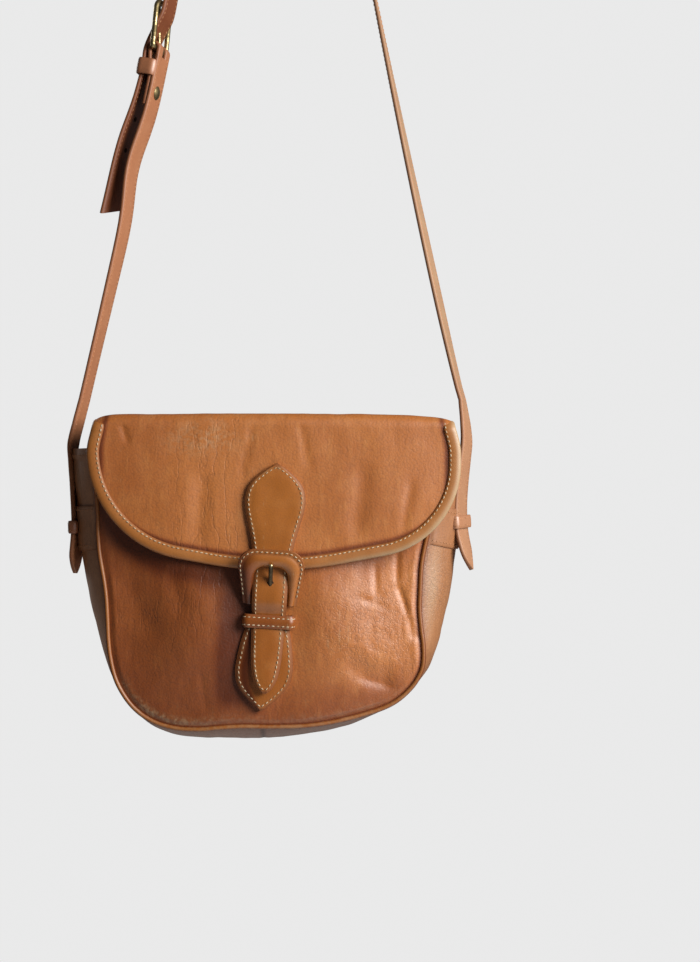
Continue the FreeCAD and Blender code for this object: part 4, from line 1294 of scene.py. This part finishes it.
# Short strap: left gusset up to the bar, round it in two strips beside the prong, and back down
inside = -strap["barShift"]
foldStart = onStrap(inside, -0.0045)
straightFrom = onStrap(inside, -0.05)
points = leftLine + between(leftLine[-1], straightFrom, 40) + between(straightFrom, foldStart, 8) + [foldStart]
points = [bowed(p, strap["leftBow"]) for p in points]
extra = len(points) - len(leftLine)
acrosses = leftTurns + [turned(7).lerp(strapAcross, ramp(0.0, 0.8, k / extra)) for k in range(extra)]
shortRings = strapRings(points, acrosses, "strapRun", taper=strap["tipLength"])
roundBar = [(inside, -0.007), (inside, -0.003)]
roundBar += [(inside * math.cos(a), -inside * math.sin(a)) for a in np.linspace(0, math.pi, 17)]
roundBar += [(-inside * 0.86, -0.003), (-inside * 0.6, -0.007)]
strips = []
for side in (-1, 1):
    middleLine = [onStrap(out, up, side * 0.0062) for out, up in roundBar]
    strips.append(strapRings(middleLine, [strapAcross] * len(middleLine), "strapRun", stitched=False, half=0.0038))
flatAt = inside + 0.0025
folded = splined([onStrap(out, up) for out, up in (
    (-inside * 0.8, -0.0040), (-inside * 0.68, -0.006), (-inside * 0.45, -0.009), (-inside * 0.1, -0.0125),
    (flatAt, -0.017), (flatAt, -0.028), (flatAt, -0.038),
)], 6)
foldRings = strapRings(folded, [strapAcross] * len(folded), "strapRun")
groups = [shortRings] + strips + [foldRings]
shortStrap = sweepPiece("shortStrapBelt", groups, strapTan, strapEdge * sum(len(g) for g in groups))
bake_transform(shortStrap)
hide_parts("short_strap", "strap_end_left")

# Keepers on the strap: one under its buckle and one at each side of the bag
strapKeeper = dict(
    plainLoop, half=0.0108, low=-0.0026, high=0.0079, radius=0.002, drop=0.0135, height=0.0105, wall=0.0014,
)
path = [onStrap(p.y, -strapKeeper["drop"], p.x) for p in flatLoop(strapKeeper)]
keeperPiece = loopPiece("strapBuckleKeeperLoop", path, -strapUp, strapKeeper, strapTan, None)
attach(keeperPiece, "strap")
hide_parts("strap_buckle_keeper")

sideKeeper = dict(plainLoop, half=0.0112, low=-0.0019, high=0.0019, radius=0.0013, height=0.0085, wall=0.0013)
# the left keeper is darkened with painted shade, the right one made paler with painted sheen
leftKeeper = dict(sideKeeper, drop=0.0752, soil=0.45)
rightKeeper = dict(sideKeeper, drop=0.0712, pale=0.15)
for word, line, turns, setting in (
    ("left", leftLine, leftTurns, leftKeeper), ("right", rightLine, rightTurns, rightKeeper),
):
    index = min(range(len(line)), key=lambda i: abs(flapTop - line[i].z - setting["drop"]))
    ahead = tangents(line)[index]
    across = (turns[index] - ahead * turns[index].dot(ahead)).normalized()
    out = ahead.cross(across)
    path = [line[index] + across * p.x + out * p.y for p in flatLoop(setting)]
    keeperPiece = loopPiece("sideKeeperLoop" + word.capitalize(), path, -ahead, setting, strapTan, "bagBand")
    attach(keeperPiece, "bag")
    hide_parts("side_keeper_" + word)
print("straps made")

for names, finish in (
    (("strap_buckle_frame", "strap_buckle_prong", "strap_rivet"), agedBrass),
    (("front_buckle_prong",), darkBronze), (("front_buckle_core",), plainSteel),
):
    for name in names:
        cadNodes[name].data.materials.clear()
        cadNodes[name].data.materials.append(finish)


# Stitches: a Geometry Nodes tree lays one small thread loop at each step of a row
stitch = dict(pitch=0.0031, length=0.0022, width=0.00078, height=0.0007, slant=0.12)
strapStitch = dict(stitch, length=0.0019, width=0.0006, height=0.0006)


def stitchTree():
    tree = bpy.data.node_groups.new("stitchRow", "GeometryNodeTree")
    tree.interface.new_socket("Geometry", in_out="INPUT", socket_type="NodeSocketGeometry")
    for name in ("Pitch", "Length", "Width", "Height", "Slant"):
        tree.interface.new_socket(name, in_out="INPUT", socket_type="NodeSocketFloat")
    tree.interface.new_socket("Thread", in_out="INPUT", socket_type="NodeSocketMaterial")
    tree.interface.new_socket("Geometry", in_out="OUTPUT", socket_type="NodeSocketGeometry")

    def add(kind, links=None, **settings):
        made = tree.nodes.new(kind)
        for key, value in settings.items():
            setattr(made, key, value)
        for slot, source in (links or {}).items():
            target = made.inputs[slot]
            if isinstance(source, bpy.types.NodeSocket):
                tree.links.new(source, target)
            else:
                target.default_value = source
        return made

    given = add("NodeGroupInput").outputs
    curve = add("GeometryNodeMeshToCurve", {"Mesh": given["Geometry"]})
    steps = add("GeometryNodeCurveToPoints", {"Curve": curve.outputs[0], "Length": given["Pitch"]}, mode="LENGTH")
    up = add("GeometryNodeInputNamedAttribute", {"Name": "up"}, data_type="FLOAT_VECTOR").outputs[0]
    ahead = add("FunctionNodeAlignRotationToVector", {"Vector": steps.outputs["Tangent"]}, axis="X")
    facing = add(
        "FunctionNodeAlignRotationToVector", {"Rotation": ahead.outputs[0], "Vector": up}, axis="Z", pivot_axis="X",
    )
    angle = add("ShaderNodeCombineXYZ", {"Z": given["Slant"]})
    spin = add("FunctionNodeEulerToRotation", {0: angle.outputs[0]})
    slanted = add(
        "FunctionNodeRotateRotation", {0: facing.outputs[0], 1: spin.outputs[0]}, rotation_space="LOCAL",
    )
    ball = add("GeometryNodeMeshUVSphere", {"Segments": 6, "Rings": 5, "Radius": 0.5})
    size = add("ShaderNodeCombineXYZ", {"X": given["Length"], "Y": given["Width"], "Z": given["Height"]})
    loop = add("GeometryNodeTransform", {"Geometry": ball.outputs["Mesh"], "Scale": size.outputs[0]})
    laid = add("GeometryNodeInstanceOnPoints", {
        "Points": steps.outputs["Points"], "Instance": loop.outputs[0], "Rotation": slanted.outputs[0],
    })
    real = add("GeometryNodeRealizeInstances", {"Geometry": laid.outputs[0]})
    soft = add("GeometryNodeSetShadeSmooth", {"Geometry": real.outputs[0]})
    threaded = add("GeometryNodeSetMaterial", {"Geometry": soft.outputs[0], "Material": given["Thread"]})
    add("NodeGroupOutput", {0: threaded.outputs[0]})
    return tree


def makeStitches(name, rows, tree, setting, finish):
    points = []
    edges = []
    ups = []
    for line, lineUps in rows:
        edges += [(len(points) + k, len(points) + k + 1) for k in range(len(line) - 1)]
        points += line
        ups += lineUps
    mesh = bpy.data.meshes.new(name + "Path")
    mesh.from_pydata([tuple(p) for p in points], edges, [])
    attribute = mesh.attributes.new("up", "FLOAT_VECTOR", "POINT")
    attribute.data.foreach_set("vector", [value for up in ups for value in up])
    rowObject = bpy.data.objects.new(name + "Path", mesh)
    bpy.context.collection.objects.link(rowObject)
    modifier = rowObject.modifiers.new("stitches", "NODES")
    modifier.node_group = tree
    for item in tree.interface.items_tree:
        key = item.name.lower()
        if item.in_out == "INPUT" and key in setting:
            modifier[item.identifier] = setting[key]
        if item.in_out == "INPUT" and key == "thread":
            modifier[item.identifier] = finish
    view = bpy.context.evaluated_depsgraph_get()
    made = bpy.data.meshes.new_from_object(rowObject.evaluated_get(view), depsgraph=view)
    bpy.data.objects.remove(rowObject)
    made.name = name
    piece = bpy.data.objects.new(name, made)
    bpy.context.collection.objects.link(piece)
    return piece


threadTree = stitchTree()
threadBlends = {
    "flapRear": ("bag", "flap_top", flap["backStart"], flap["backEnd"]),
    "flapFrontEdge": ("flap_top", "flap_front", flap["frontStart"], flap["frontEnd"]),
    "strapRun": ("strap", "bag", strap["blendStart"], strap["blendEnd"]),
}
for group, rows in stitchRows.items():
    onRun = group in ("strapRun", "bagBand")
    piece = makeStitches(
        "stitches_" + group, rows, threadTree, strapStitch if onRun else stitch, tanThread if onRun else creamThread,
    )
    if group in threadBlends:
        first, second, start, end = threadBlends[group]
        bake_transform(piece)
    else:
        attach(piece, "bag" if group == "bagBand" else group)
    print("stitches on", group, len(piece.data.polygons))

# Floor, light and camera; the camera stands where the photograph was taken
room = dict(
    floorRadius=0.8, floorZ=-1.25, floorDark=(0.72, 0.72, 0.72, 1.0), floorLight=(0.8, 0.8, 0.79, 1.0),
    lampAim=(0.0, 0.0, -0.67), lampSize=(0.9, 0.9), fill=(1.0, 0.98, 0.96, 1.0), fillStrength=0.07,
    wall=(0.82, 0.82, 0.82, 1.0), lens=57.57, sensor=36.0, eye=(0.0494, -1.0315, -0.621),
)
floorMesh = bpy.data.meshes.new("paleFloor")
disc = bmesh.new()
bmesh.ops.create_circle(disc, cap_ends=True, segments=96, radius=room["floorRadius"])
disc.to_mesh(floorMesh)
disc.free()
floor = bpy.data.objects.new("paleFloor", floorMesh)
floor.location = (0, 0, room["floorZ"])
bpy.context.collection.objects.link(floor)
floorFinish = Finish("palePaper")
here = floorFinish.node("TexCoord", output="Object")
cloud = floorFinish.node("TexNoise", {"Vector": here, "Scale": 3.0, "Detail": 3.0})
paper = floorFinish.blendColour(cloud, room["floorDark"], room["floorLight"])
floorMesh.materials.append(floorFinish.close({"Base Color": paper, "Roughness": 0.9 - cloud * 0.1}))


def lamp(name, spot, power, tint):
    light = bpy.data.lights.new(name, "AREA")
    light.shape = "RECTANGLE"
    light.size, light.size_y = room["lampSize"]
    light.energy = power
    light.color = tint
    thing = bpy.data.objects.new(name, light)
    thing.location = spot
    thing.rotation_euler = (Vector(room["lampAim"]) - Vector(spot)).to_track_quat("-Z", "Y").to_euler()
    bpy.context.collection.objects.link(thing)


lamp("backLight", (-1.25, 1.35, -0.1), 13.0, (1.0, 0.99, 0.97))
lamp("windowLight", (1.12, -0.76, -0.12), 38.0, (1.0, 0.98, 0.95))

world = bpy.data.worlds.new("paleRoom")
bpy.context.scene.world = world
world.use_nodes = True
nodes = world.node_tree.nodes
nodes.clear()
rays = nodes.new("ShaderNodeLightPath")
fill = nodes.new("ShaderNodeBackground")
fill.inputs["Color"].default_value = room["fill"]
fill.inputs["Strength"].default_value = room["fillStrength"]
wall = nodes.new("ShaderNodeBackground")
wall.inputs["Color"].default_value = room["wall"]
wall.inputs["Strength"].default_value = 1.0
choose = nodes.new("ShaderNodeMixShader")
end = nodes.new("ShaderNodeOutputWorld")
world.node_tree.links.new(rays.outputs["Is Camera Ray"], choose.inputs[0])
world.node_tree.links.new(fill.outputs[0], choose.inputs[1])
world.node_tree.links.new(wall.outputs[0], choose.inputs[2])
world.node_tree.links.new(choose.outputs[0], end.inputs["Surface"])

lens = bpy.data.cameras.new("photoCamera")
lens.lens = room["lens"]
lens.sensor_width = room["sensor"]
camera = bpy.data.objects.new("photoCamera", lens)
camera.location = room["eye"]
camera.rotation_euler = (math.radians(90), 0, 0)
bpy.context.collection.objects.link(camera)
bpy.context.scene.camera = camera
bpy.context.scene.view_settings.view_transform = "Standard"
print("stage set")
